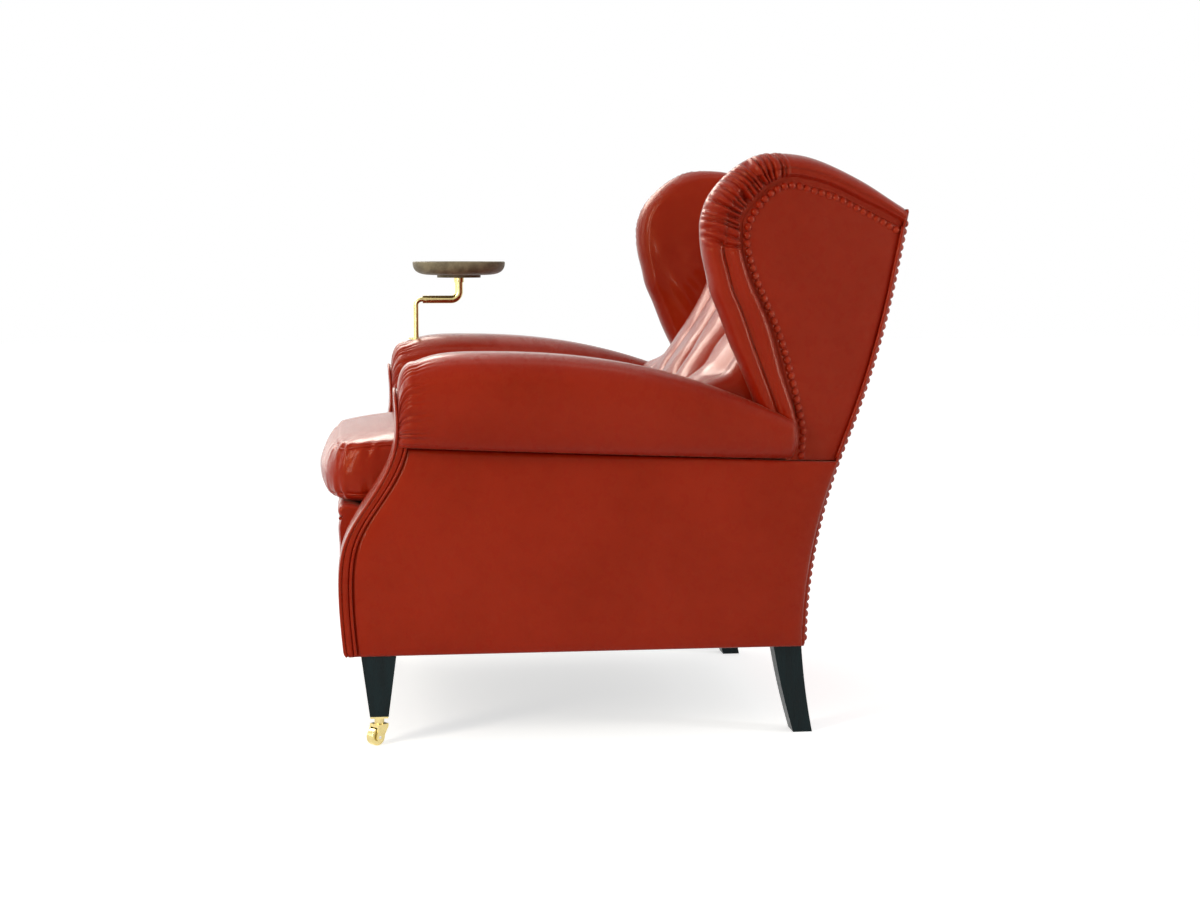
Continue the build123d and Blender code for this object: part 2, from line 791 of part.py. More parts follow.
# Loose seat cushion: crowned on top, with a bulged front and sides drawn in between the corners
cushion_bottom = deck_height + soft_gap
cushion_half = arm_inner - cushion_gap
cushion_front = front_y + cushion_bulge
cushion_rear = deck_rear - cushion_gap
cushion_middle = (cushion_front + cushion_rear) / 2
with BuildPart() as seat_cushion:
    with BuildSketch(Plane.XY.offset(cushion_bottom)):
        with BuildLine():
            ThreePointArc((-cushion_half, cushion_front), (0, front_y), (cushion_half, cushion_front))
            ThreePointArc((-cushion_half, cushion_rear), (0, cushion_rear - side_draw), (cushion_half, cushion_rear))
            for side in (1, -1):
                ThreePointArc(
                    (side * cushion_half, cushion_rear),
                    (side * (cushion_half - side_draw), cushion_middle),
                    (side * cushion_half, cushion_front),
                )
        make_face()
    extrude(amount=seat_height)
    fillet(seat_cushion.edges().filter_by(Axis.Z), radius=cushion_corner)
    with Locations((0, cushion_middle, seat_height - crown_radius)):
        Sphere(radius=crown_radius, mode=Mode.INTERSECT)
    middle_height = (cushion_bottom + seat_height) / 2
    upright_edges = seat_cushion.edges().filter_by(Axis.Z)
    top_edges = [edge for edge in seat_cushion.edges() - upright_edges if edge.center().Z > middle_height]
    fillet(top_edges, radius=cushion_top_round)
    bottom_edges = [edge for edge in seat_cushion.edges() if edge.center().Z < cushion_bottom + soft_gap]
    fillet(bottom_edges, radius=cushion_bottom_round)

# Back webbing, laid flat on the front of both back rails
with BuildPart() as back_webbing:
    with BuildSketch(back_plane):
        with Locations((0, back_length / 2)):
            Rectangle(2 * (arm_inner - cushion_gap), back_length + back_rail_width)
            net_holes(2 * (arm_inner - cushion_gap), back_length - back_rail_width)
    extrude(amount=webbing_thick)

# Inner back: a deep pad, swollen at the waist, rolled over the top rail
pad_front_y = deck_rear
back_pad_height = back_height - pad_bottom
back_cosine = back_rise / back_length


def web_line_y(height):
    """Place just ahead of the back webbing at a height."""
    ahead = (webbing_thick + soft_gap) / back_cosine
    return lower_rail_y + (height - lower_back_rail_height) * back_run / back_rise - ahead


lumbar_points = [(pad_front_y + lumbar_depth * out, pad_bottom + back_pad_height * up) for out, up in lumbar_shares]
lumbar_curve = Plane.YZ * Spline(*lumbar_points)
rear_corner = chair_height - rear_corner_drop
with BuildPart() as inner_back:
    with BuildSketch(Plane.YZ):
        with BuildLine():
            front = Spline(*lumbar_points)
            over_rail = post_top + soft_gap
            Polyline(
                front @ 1,
                (rear_line_y(rear_corner), rear_corner),
                (rear_line_y(rear_corner), over_rail),
                (web_line_y(over_rail), over_rail),
                (web_line_y(pad_bottom), pad_bottom),
                front @ 0,
            )
        make_face()
    extrude(amount=base_half)
    with BuildSketch(Plane.XZ):
        with BuildLine():
            narrow = arm_inner - cushion_gap
            Polyline(
                (0, pad_bottom),
                (narrow, pad_bottom),
                (narrow, back_narrow_height),
                (base_half, back_narrow_height),
                (base_half, back_height),
                (0, back_height),
                close=True,
            )
        make_face()
    extrude(amount=-chair_depth, mode=Mode.INTERSECT)
    keep_wing_slab(wing_thick + soft_gap, chair_width)
    add(behind_panel.part, mode=Mode.SUBTRACT)
    mirror(about=Plane.YZ)


def lumbar_place(height):
    """Point and outward normal of the inner back's front face at a height."""
    low, high = 0.0, 1.0
    for _ in range(40):
        middle = (low + high) / 2
        if (lumbar_curve @ middle).Z < height:
            low = middle
        else:
            high = middle
    point = lumbar_curve @ low
    along = lumbar_curve % low
    return point, Vector(0, -along.Z, along.Y).normalized()


def row_places(row):
    """Height and sideways places of the buttons of a row."""
    height, count = tuft_rows[row]
    return height, [tuft_pitch * (k - (count - 1) / 2) for k in range(count)]


tufts = []
pleats = []
low_height, low_places = row_places(0)
high_height, high_places = row_places(1)
for x in low_places:
    tufts.append((x, low_height))
    pleats.append(((x, low_height), (x, pleat_foot)))
    for other in high_places:
        if abs(other - x) < tuft_pitch:
            pleats.append(((x, low_height), (other, high_height)))
for x in high_places:
    tufts.append((x, high_height))
    pleats.append(((x, high_height), (x, pleat_head)))


def back_point(place):
    """Point on the front face of the inner back, and the normal there."""
    x, height = place
    point, normal = lumbar_place(height)
    return Vector(x, point.Y, point.Z), normal


with BuildPart() as pleat_cutter:
    for start_place, end_place in pleats:
        start, start_normal = back_point(start_place)
        end, end_normal = back_point(end_place)
        along = (end - start).normalized()
        normal = (start_normal + end_normal).normalized()
        across = normal.cross(along)
        with BuildSketch(Plane(origin=start, x_dir=across, z_dir=along)):
            with BuildLine():
                Polyline(
                    (-pleat_width / 2, pleat_depth / 2),
                    (pleat_width / 2, pleat_depth / 2),
                    (0, -pleat_depth),
                    close=True,
                )
            make_face()
        extrude(amount=(end - start).length)

tuft_planes = []
for place in tufts:
    point, normal = back_point(place)
    tuft_planes.append(Plane(origin=point - normal * tuft_depth, x_dir=(1, 0, 0), z_dir=normal))

with BuildPart() as tuft_cutter:
    with Locations(*[plane.location for plane in tuft_planes]):
        Cone(
            bottom_radius=button_radius + soft_gap,
            top_radius=tuft_radius,
            height=tuft_depth + pleat_depth / 2,
            align=(Align.CENTER, Align.CENTER, Align.MIN),
        )

with BuildPart() as tufted_back:
    add(inner_back.part)
    add(pleat_cutter.part, mode=Mode.SUBTRACT)
    add(tuft_cutter.part, mode=Mode.SUBTRACT)

with BuildPart() as button:
    with BuildSketch(Plane.XZ):
        with BuildLine():
            dome = ThreePointArc(
                (0, button_thick),
                (button_radius * button_dome_shares[0], button_thick * button_dome_shares[1]),
                (button_radius, button_thick / 3),
            )
            Polyline(dome @ 1, (button_radius, 0), (0, 0), dome @ 0)
        make_face()
    revolve(axis=Axis.Z)
back_buttons = Compound(children=[button.part.solid().moved(plane.location) for plane in tuft_planes])

# Outer back panel, between the wings' outer planes
with BuildPart() as back_outside_panel:
    with BuildSketch(Plane.YZ):
        rear_band(-back_panel_thick, 0)
    extrude(amount=half_width)
    keep_wing_slab(0, chair_width)
    keep_heights(hem_height, rear_corner)
    mirror(about=Plane.YZ)

# Covered nails: a dome, set along the wing's border and round the outer back
with BuildPart() as nail:
    with BuildSketch(Plane.XZ):
        with BuildLine():
            dome_middle = (nail_radius * nail_dome_shares[0], nail_rise * nail_dome_shares[1])
            dome = ThreePointArc((0, nail_rise), dome_middle, (nail_radius, 0))
            Polyline(dome @ 1, (0, 0), dome @ 0)
        make_face()
    revolve(axis=Axis.Z)
nail_solid = nail.part.solid()

with BuildLine() as nail_line:
    nail_curve = Spline(*[wing_place(shares) for shares in nail_front_shares])
    Line(wing_place(nail_foot_shares), nail_curve @ 0)
    Polyline(nail_curve @ 1, *[wing_place(shares) for shares in nail_top_shares])
nail_wire = Wire(nail_line.edges())
nail_plane = wing_plane.offset(-border_proud)
nail_spots = []
nail_steps = int(nail_wire.length / (nail_pitch * nail_step_share))
for k in range(nail_steps):
    place = nail_wire.position_at(k / nail_steps)
    heading = nail_wire.tangent_at(k / nail_steps)
    spot = (place.X + heading.Y * nail_edge, place.Y - heading.X * nail_edge)
    clear_of_seam = spot[1] > seam_height(arm_rear_y) + nail_radius + soft_gap
    clear_of_last = not nail_spots or math.dist(spot, nail_spots[-1]) > nail_pitch
    if clear_of_seam and clear_of_last:
        nail_spots.append(spot)
left_nails = [nail_solid.moved(nail_plane.location * Location((*spot, 0))) for spot in nail_spots]
left_wing_nails = Compound(children=left_nails)
right_wing_nails = Compound(children=[solid.mirror(Plane.YZ) for solid in left_nails])


def back_nail_at(x, height):
    """Nail standing on the outer back at a place across and a height."""
    lean = math.radians(rear_lean(height))
    origin = (x, rear_line_y(height) + running_gap, height)
    plane = Plane(origin=origin, x_dir=(1, 0, 0), z_dir=(0, math.cos(lean), -math.sin(lean)))
    return nail_solid.moved(plane.location)


left_column = []
right_column = []
height = hem_height + nail_pitch
while height < rear_corner - nail_pitch:
    wing_out = (rear_y - rear_line_y(height)) * math.tan(math.radians(wing_splay))
    nail_x = rear_half_width + wing_out - back_nail_edge
    left_column.append(back_nail_at(nail_x, height))
    right_column.append(back_nail_at(-nail_x, height))
    row_height = height
    height += nail_pitch * math.cos(math.radians(rear_lean(height)))
row_half = nail_x - nail_pitch
row_count = int(2 * row_half / nail_pitch)
top_row = [back_nail_at(row_half * (2 * k / row_count - 1), row_height) for k in range(row_count + 1)]
left_back_nails = Compound(children=left_column)
right_back_nails = Compound(children=right_column)
top_back_nails = Compound(children=top_row)

# Front legs: square, tapered down to the casters
caster_top = front_foot_height - plate_thick
stem_bottom = 2 * wheel_radius + fork_crown_gap + crown_thick
stem_top = stem_bottom + stem_length
with BuildPart() as left_front_leg:
    with BuildSketch(Plane.XY.offset(front_foot_height)):
        with Locations((front_leg_x, front_leg_y)):
            Rectangle(front_leg_foot, front_leg_foot)
    with BuildSketch(Plane.XY.offset(frame_bottom)):
        with Locations((front_leg_x, front_leg_y)):
            Rectangle(front_leg_top, front_leg_top)
    loft()
    with BuildSketch(Plane.XY.offset(front_foot_height)):
        with Locations((front_leg_x, front_leg_y)):
            Circle(stem_radius + running_gap)
    extrude(amount=stem_top - front_foot_height + fit_gap, mode=Mode.SUBTRACT)
    add(leg_bolts.part, mode=Mode.SUBTRACT)

# Rear legs: raked back and slightly bowed, under the back posts
with BuildPart() as left_rear_leg:
    with BuildSketch(Plane.YZ.offset(rear_leg_x - rear_leg_width / 2)):
        with BuildLine():
            foot_front = rear_leg_front + rear_leg_rake
            foot_back = foot_front + rear_leg_foot_depth
            middle_front = (rear_leg_front + foot_front) / 2 - leg_bow
            middle_back = (rear_leg_back + foot_back) / 2 - leg_bow
            front = ThreePointArc(
                (rear_leg_front, hem_height), (middle_front, hem_height / 2), (foot_front, 0)
            )
            back = ThreePointArc((rear_leg_back, hem_height), (middle_back, hem_height / 2), (foot_back, 0))
            Line(front @ 1, back @ 1)
            Polyline(front @ 0, (rear_leg_front, frame_bottom), (rear_leg_back, frame_bottom), back @ 0)
        make_face()
    extrude(amount=rear_leg_width)
    add(behind_panel.part, mode=Mode.SUBTRACT)
    add(leg_bolts.part, mode=Mode.SUBTRACT)

# Casters, turned to one side
caster_place = Location((front_leg_x, front_leg_y, 0), (0, 0, caster_turn))
with BuildPart() as left_caster_plate:
    with BuildSketch(Plane.XY.offset(caster_top)):
        with Locations((front_leg_x, front_leg_y)):
            Rectangle(plate_size, plate_size)
    extrude(amount=plate_thick)
    with BuildSketch(Plane.XY.offset(stem_bottom + running_gap)):
        with Locations((front_leg_x, front_leg_y)):
            Circle(neck_radius)
    extrude(until=Until.NEXT)
    with BuildSketch(Plane.XY.offset(stem_bottom)):
        with Locations((front_leg_x, front_leg_y)):
            Circle(stem_radius + running_gap)
    extrude(amount=front_foot_height, mode=Mode.SUBTRACT)

fork_inner = wheel_width / 2 + fork_side_gap
fork_outer = fork_inner + fork_thick
with BuildPart() as left_caster_axle:
    with Locations(caster_place):
        with Locations((0, -caster_trail, wheel_radius)):
            Cylinder(radius=axle_radius, height=2 * fork_outer, rotation=(0, 90, 0))

with BuildPart() as left_caster_fork:
    with BuildSketch(Plane.YZ.offset(-fork_outer)):
        with Locations((-caster_trail, wheel_radius)):
            Circle(horn_radius)
        with Locations((0, stem_bottom - crown_thick / 2)):
            Rectangle(2 * crown_half, crown_thick)
        make_hull()
    extrude(amount=2 * fork_outer)
    with BuildSketch(Plane.XY):
        Rectangle(2 * fork_inner, chair_depth)
    extrude(amount=stem_bottom - crown_thick, mode=Mode.SUBTRACT)
    with BuildSketch(Plane.XY.offset(stem_bottom)):
        Circle(stem_radius)
    extrude(amount=stem_length)
with BuildPart() as left_turned_fork:
    with Locations(caster_place):
        add(left_caster_fork.part)
    add(left_caster_axle.part, mode=Mode.SUBTRACT)

with BuildPart() as left_caster_wheel:
    with Locations(caster_place):
        with Locations((0, -caster_trail, wheel_radius)):
            Cylinder(radius=wheel_radius, height=wheel_width, rotation=(0, 90, 0))
    rims = left_caster_wheel.edges().filter_by(GeomType.CIRCLE)
    fillet(rims, radius=wheel_round)
    with Locations(caster_place):
        with Locations((0, -caster_trail, wheel_radius)):
            Cylinder(
                radius=axle_radius + running_gap, height=chair_width, rotation=(0, 90, 0), mode=Mode.SUBTRACT
            )

# Tray: socket let into the right arm
tray_x = -(half_width - tray_inset)
post_y = facing_front_y + post_setback
dish_y = post_y + tray_reach
socket_share = (post_y - roll_peak_y) / (roll_peak_y - arm_front_y)
socket_top = roll_size(socket_share)[1] + socket_flange_thick / 2
socket_bottom = socket_top - socket_length
with BuildPart() as tray_socket:
    with BuildSketch(Plane.XY.offset(socket_bottom)):
        with Locations((tray_x, post_y)):
            Circle(socket_radius)
    extrude(amount=socket_length)
    with BuildSketch(Plane.XY.offset(socket_top - socket_flange_thick)):
        with Locations((tray_x, post_y)):
            Circle(socket_flange_radius)
    extrude(amount=socket_flange_thick)
    with BuildSketch(Plane.XY.offset(socket_bottom + socket_floor)):
        with Locations((tray_x, post_y)):
            Circle(post_radius + running_gap)
    extrude(amount=socket_length, mode=Mode.SUBTRACT)

with BuildPart() as socket_hole:
    with BuildSketch(Plane.XY.offset(socket_bottom)):
        with Locations((tray_x, post_y)):
            Circle(socket_radius)
    extrude(amount=socket_length)
    with BuildSketch(Plane.XY.offset(socket_top - socket_flange_thick)):
        with Locations((tray_x, post_y)):
            Circle(socket_flange_radius + soft_gap)
    extrude(amount=socket_length)

# Bent post and the tube that slides over its end
post_foot = socket_bottom + socket_floor + fit_gap
spigot_end = post_y + tube_start + tube_overlap
with BuildPart() as tray_post:
    with BuildLine(Plane.YZ.offset(tray_x)) as post_path:
        upright = Line((post_y, post_foot), (post_y, tray_tube_height - elbow_radius))
        elbow = JernArc(start=upright @ 1, tangent=(0, 1), radius=elbow_radius, arc_size=-90)
        Line(elbow @ 1, (spigot_end, tray_tube_height))
    with BuildSketch(Plane.XY.offset(post_foot)):
        with Locations((tray_x, post_y)):
            Circle(post_radius)
    sweep()

collar_top = dish_top - dish_depth - running_gap
with BuildPart() as tray_arm:
    with BuildLine(Plane.YZ.offset(tray_x)) as tube_path:
        level = Line(
            (post_y + tube_start, tray_tube_height), (dish_y - tube_bend_radius, tray_tube_height)
        )
        bend = JernArc(start=level @ 1, tangent=(1, 0), radius=tube_bend_radius, arc_size=90)
        Line(bend @ 1, (dish_y, collar_top - collar_thick))
    with BuildSketch(Plane.XZ.offset(-post_y - tube_start)):
        with Locations((tray_x, tray_tube_height)):
            Circle(tube_radius)
    sweep()
    with BuildSketch(Plane.XY.offset(collar_top - collar_thick)):
        with Locations((tray_x, dish_y)):
            Circle(collar_radius)
    extrude(amount=collar_thick)
    with BuildSketch(Plane.XY.offset(collar_top)):
        with Locations((tray_x, dish_y)):
            Circle(post_radius)
    extrude(amount=pin_length)
    with BuildSketch(Plane.XZ.offset(-post_y - tube_start)):
        with Locations((tray_x, tray_tube_height)):
            Circle(post_radius + running_gap)
    extrude(amount=-tube_overlap - fit_gap, mode=Mode.SUBTRACT)
    with BuildSketch(Plane.YZ.offset(tray_x)):
        with Locations((post_y + screw_setback, tray_tube_height)):
            Circle(screw_radius)
    extrude(amount=tube_radius + overrun, mode=Mode.SUBTRACT)

with BuildPart() as tray_set_screw:
    with BuildSketch(Plane.YZ.offset(tray_x + post_radius + running_gap)):
        with Locations((post_y + screw_setback, tray_tube_height)):
            Circle(screw_radius)
    extrude(amount=screw_length)
    with BuildSketch(Plane.YZ.offset(tray_x + post_radius + running_gap + screw_length)):
        with Locations((post_y + screw_setback, tray_tube_height)):
            Rectangle(2 * screw_radius, screw_radius / 2)
    extrude(amount=-screw_radius / 2, mode=Mode.SUBTRACT)

# Turned dish on its pin
dish_bottom = dish_top - dish_depth
with BuildPart() as tray_dish:
    with BuildSketch(Plane.XZ) as dish_section:
        with BuildLine():
            foot_top = (dish_foot_radius, dish_bottom + dish_foot_height)
            rim_outer = (dish_radius, dish_top - dish_wall / 2)
            rim_inner = (dish_radius - dish_wall, dish_top - dish_wall / 2)
            Spline(rim_outer, foot_top, tangents=[(0, -1), (-1, 0)])
            RadiusArc(rim_outer, rim_inner, -dish_wall / 2)
            inside = Spline(
                rim_inner, (dish_foot_radius, dish_bottom + dish_floor), tangents=[(0, -1), (-1, 0)]
            )
            Polyline(
                inside @ 1,
                (0, dish_bottom + dish_floor),
                (0, dish_bottom + pin_length + fit_gap),
                (post_radius + running_gap, dish_bottom + pin_length + fit_gap),
                (post_radius + running_gap, dish_bottom),
                (dish_foot_radius, dish_bottom),
                foot_top,
            )
        make_face()
    revolve(axis=Axis.Z)
tray_dish_placed = tray_dish.part.moved(Location((tray_x, dish_y, 0)))

# Left-hand pieces and their mirror images; the tray's socket is let into the right arm
pieces = {}
left_pieces = {
    "seat_rail": left_seat_rail, "front_post": left_front_post, "back_post": left_back_post,
    "arm_rail": left_arm_rail, "wing_frame": left_wing_frame, "wing_pad": left_wing_pad,
    "wing_panel": left_wing_panel, "arm_pad": left_arm_pad, "arm_facing": left_arm_facing,
    "side_panel": left_side_panel, "front_leg": left_front_leg, "rear_leg": left_rear_leg,
    "caster_plate": left_caster_plate, "caster_axle": left_caster_axle, "caster_wheel": left_caster_wheel,
    "caster_fork": left_turned_fork,
}
for name, piece in left_pieces.items():
    with BuildPart() as right_piece:
        mirror(piece.part, about=Plane.YZ)
        if name in ("arm_rail", "arm_pad"):
            add(socket_hole.part, mode=Mode.SUBTRACT)
    pieces["left_" + name] = piece.part
    pieces["right_" + name] = right_piece.part
pieces["left_wing_nails"] = left_wing_nails
pieces["right_wing_nails"] = right_wing_nails
pieces["left_back_nails"] = left_back_nails
pieces["right_back_nails"] = right_back_nails
pieces["top_back_nails"] = top_back_nails

middle_pieces = {
    "front_seat_rail": front_seat_rail, "rear_seat_rail": rear_seat_rail, "corner_blocks": corner_blocks,
    "frame_dowels": frame_dowels, "leg_bolts": leg_bolts, "seat_webbing": seat_webbing,
    "back_lower_rail": back_lower_rail, "back_top_rail": back_top_rail,
    "bottom_cloth": bottom_cloth, "seat_deck": seat_deck, "front_apron": front_apron, "front_lip": front_lip,
    "seat_cushion": seat_cushion, "back_webbing": back_webbing, "inner_back": tufted_back,
    "back_outside_panel": back_outside_panel, "tray_socket": tray_socket, "tray_post": tray_post,
    "tray_arm": tray_arm, "tray_set_screw": tray_set_screw,
}
for name, piece in middle_pieces.items():
    pieces[name] = piece.part
pieces["seat_springs"] = seat_springs
pieces["back_buttons"] = back_buttons
pieces["tray_dish"] = tray_dish_placed

for name, shape in pieces.items():
    shape.label = name
    export_step(shape, "parts/" + name + ".step")
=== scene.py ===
import json
import math

import bmesh
import bpy
import numpy as np
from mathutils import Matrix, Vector
from mathutils.bvhtree import BVHTree


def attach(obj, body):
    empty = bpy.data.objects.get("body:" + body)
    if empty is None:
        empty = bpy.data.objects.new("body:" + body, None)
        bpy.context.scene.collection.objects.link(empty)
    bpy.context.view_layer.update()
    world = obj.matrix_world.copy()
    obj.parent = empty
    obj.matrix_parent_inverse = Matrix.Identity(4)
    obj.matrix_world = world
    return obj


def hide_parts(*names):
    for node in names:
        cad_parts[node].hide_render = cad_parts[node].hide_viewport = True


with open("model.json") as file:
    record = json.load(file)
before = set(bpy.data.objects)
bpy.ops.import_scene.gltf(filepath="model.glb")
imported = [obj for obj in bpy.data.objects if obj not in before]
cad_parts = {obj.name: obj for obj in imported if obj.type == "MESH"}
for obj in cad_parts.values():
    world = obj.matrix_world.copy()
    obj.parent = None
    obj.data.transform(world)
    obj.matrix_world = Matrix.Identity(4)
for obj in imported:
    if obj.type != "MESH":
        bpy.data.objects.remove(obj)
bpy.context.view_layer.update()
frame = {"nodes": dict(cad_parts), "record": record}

# Sizes of the chair in metres: x to the sitter's left, y to the rear, z up
half_width = 0.420
base_half = 0.372
arm_inner = 0.262
hem = 0.150
hem_line = hem + 0.0005
arm_top = 0.635
arm_front = -0.3377
arm_rear = 0.289
arm_foot = 0.392
peak_y = -0.219
seam_front, seam_rear = 0.484, 0.456
rear_foot = 0.3104
back_top = 0.8625
back_rise = 0.713
waist_rise_share, crest_rise_share = 0.463, 0.379
wing_lean = math.radians(11.07)
wing_slope = math.tan(wing_lean)
wing_normal = np.array([math.cos(wing_lean), math.sin(wing_lean), 0.0])
wing_edge_x, wing_edge_y = 0.332, 0.485


def rear_y(z):
    """Rear line of the chair at a height: bent out at the waist, then nearly straight."""
    waist, upper = math.radians(22.8), math.radians(11.9)
    rise = z - hem
    low_rise, high_rise = back_rise * waist_rise_share, back_rise * crest_rise_share
    low_radius = low_rise / math.sin(waist)
    high_radius = high_rise / (math.sin(waist) - math.sin(upper))
    if rise <= low_rise:
        return rear_foot + low_radius - math.sqrt(max(low_radius**2 - rise**2, 0))
    y = rear_foot + low_radius * (1 - math.cos(waist))
    if rise <= low_rise + high_rise:
        sine = math.sin(waist) - (rise - low_rise) / high_radius
        return y + high_radius * (math.sqrt(1 - sine**2) - math.cos(waist))
    y += high_radius * (math.cos(upper) - math.cos(waist))
    return y + (rise - low_rise - high_rise) * math.tan(upper)


def wing_x(y, depth=0.0):
    """Place across of the wing's outer plane, or of one below it."""
    return wing_edge_x + (wing_edge_y - y) * wing_slope - depth / math.cos(wing_lean)


def seam_z(y):
    """Height of the long seam under the arm."""
    return seam_front + (seam_rear - seam_front) * (y - arm_front) / (rear_foot - arm_front)


# Curves and meshes
def curve(points, count):
    """Even points along a smooth line, a natural cubic spline, through some points."""
    fine_count = 60
    p = np.asarray(points, float)
    chord = length_along(p)
    n = len(p)
    h = np.diff(chord)
    a = np.zeros((n, n))
    b = np.zeros_like(p)
    a[0, 0] = a[-1, -1] = 1
    for i in range(1, n - 1):
        a[i, i - 1 : i + 2] = h[i - 1], 2 * (h[i - 1] + h[i]), h[i]
        b[i] = 6 * ((p[i + 1] - p[i]) / h[i] - (p[i] - p[i - 1]) / h[i - 1])
    m = np.linalg.solve(a, b)
    fine = np.linspace(0, chord[-1], fine_count * n)
    i = np.clip(np.searchsorted(chord, fine, side="right") - 1, 0, n - 2)
    t = (fine - chord[i])[:, None]
    s = h[i][:, None] - t
    hi = h[i][:, None]
    q = (m[i] * s**3 + m[i + 1] * t**3) / (6 * hi)
    q += (p[i] / hi - m[i] * hi / 6) * s + (p[i + 1] / hi - m[i + 1] * hi / 6) * t
    run = length_along(q)
    want = np.linspace(0, run[-1], count)
    return np.stack([np.interp(want, run, q[:, k]) for k in range(p.shape[1])], axis=1)


def length_along(line):
    """How far along a line each of its points lies."""
    return np.r_[0, np.cumsum(np.linalg.norm(np.diff(line, axis=0), axis=1))]


def smoothstep(low, high, value):
    """Smooth climb from 0 to 1 between two values."""
    t = np.clip((value - low) / (high - low), 0, 1)
    return t * t * (3 - 2 * t)


def arc(centre, radii, first, last, count):
    """Points on an arc, or an oval one, between two angles in degrees."""
    a = np.radians(np.linspace(first, last, count))
    return np.stack([centre[0] + radii[0] * np.cos(a), centre[1] + radii[1] * np.sin(a)], axis=1)


def between(a, b, count):
    """Even points from one point to another."""
    return np.linspace(a, b, count)


def crowded(half, count, share):
    """Places from side to side that lie closer together near both ends."""
    bend = math.pi / 2 * share
    return np.sin(np.linspace(-1, 1, count) * bend) / math.sin(bend) * half


same_point = 1e-6


def piece(name, vertices, faces, finish, slot, body="chair", stands_for=(), soft=None):
    """A mesh object that rides on a body, with doubled points joined and its faces turned out."""
    mesh = bpy.data.meshes.new(name)
    mesh.from_pydata([tuple(v) for v in vertices], [], [tuple(f) for f in faces])
    form = bmesh.new()
    form.from_mesh(mesh)
    bmesh.ops.remove_doubles(form, verts=form.verts, dist=same_point)
    bmesh.ops.dissolve_degenerate(form, edges=form.edges, dist=same_point)
    bmesh.ops.recalc_face_normals(form, faces=form.faces)
    form.to_mesh(mesh)
    form.free()
    mesh.validate()
    mesh.update()
    mesh.shade_smooth()
    for face in mesh.polygons:
        is_cap = len(face.vertices) > 4
        face.use_smooth = not is_cap
    obj = bpy.data.objects.new(name, mesh)
    bpy.context.collection.objects.link(obj)
    mesh.materials.append(finish)
    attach(obj, body)
    if stands_for:
        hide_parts(*stands_for)
    return obj


def lattice(grid, around=False, caps=(), flip=False):
    """Vertices and faces of a grid of points; it can close on itself and be capped."""
    rows, columns = grid.shape[:2]
    vertices = grid.reshape(-1, 3)
    index = np.arange(rows * columns).reshape(rows, columns)
    if around:
        index = np.concatenate([index, index[:, :1]], axis=1)
    corners = [index[:-1, :-1], index[:-1, 1:], index[1:, 1:], index[1:, :-1]]
    faces = np.stack(corners, axis=-1).reshape(-1, 4)
    faces = faces[:, ::-1] if flip else faces
    faces = [tuple(f) for f in faces]
    for row in caps:
        loop = list(index[row][:-1] if around else index[row])
        faces.append(tuple(loop[::-1] if (row == 0) != flip else loop))
    return vertices, faces


def combine(*parts):
    """Several sets of vertices and faces as one."""
    vertices, faces, start = [], [], 0
    for v, f in parts:
        vertices.append(np.asarray(v))
        faces += [tuple(k + start for k in face) for face in f]
        start += len(v)
    return np.concatenate(vertices), faces


def mirrored(part):
    """The same surface on the other side of the chair."""
    v, f = part
    v = np.array(v)
    v[:, 0] *= -1
    return v, [tuple(reversed(face)) for face in f]


def cord_round(path, radius, sides=10, closed=False):
    """Piping: a round cord along a path, its section carried along without twist."""
    nearly_upright = 0.9
    p = np.asarray(path)
    if closed:
        ahead, behind = np.roll(p, -1, axis=0), np.roll(p, 1, axis=0)
    else:
        ahead, behind = np.r_[p[1:], p[-1:]], np.r_[p[:1], p[:-1]]
    along = ahead - behind
    along /= np.linalg.norm(along, axis=1)[:, None]
    up = np.zeros_like(p)
    last = np.array([1.0, 0.0, 0.0]) if abs(along[0][2]) >= nearly_upright else np.array([0.0, 0.0, 1.0])
    for k, d in enumerate(along):
        last = last - d * last.dot(d)
        last /= np.linalg.norm(last)
        up[k] = last
    side = np.cross(along, up)
    angle = np.linspace(0, 2 * math.pi, sides, endpoint=False)
    ring = up[:, None] * np.cos(angle)[None, :, None] + side[:, None] * np.sin(angle)[None, :, None]
    grid = p[:, None] + radius * ring
    if closed:
        grid = np.concatenate([grid, grid[:1]])
    return lattice(grid, around=True, caps=() if closed else (0, -1), flip=True)


def both_sides(name, part, finish, slot, nodes, soft=None):
    """A left-hand piece and its mirror image."""
    for side in ("left", "right"):
        shape = part if side == "left" else mirrored(part)
        stands_for = [f"{side}_{node}" for node in nodes]
        piece(f"{side}_{name}", *shape, finish, slot, stands_for=stands_for, soft=soft)


# Finishes
class Value:
    """A shader socket that takes part in sums."""

    def __init__(self, nodes, socket):
        self.nodes, self.socket = nodes, socket

    def maths(self, operation, first, second):
        """A Math node on two values."""
        return self.nodes.node("ShaderNodeMath", {"operation": operation}, {0: first, 1: second})

    def __add__(self, other):
        return self.maths("ADD", self, other)

    def __sub__(self, other):
        return self.maths("SUBTRACT", self, other)

    def __rsub__(self, other):
        return self.maths("SUBTRACT", other, self)

    def __mul__(self, other):
        return self.maths("MULTIPLY", self, other)

    __radd__, __rmul__ = __add__, __mul__


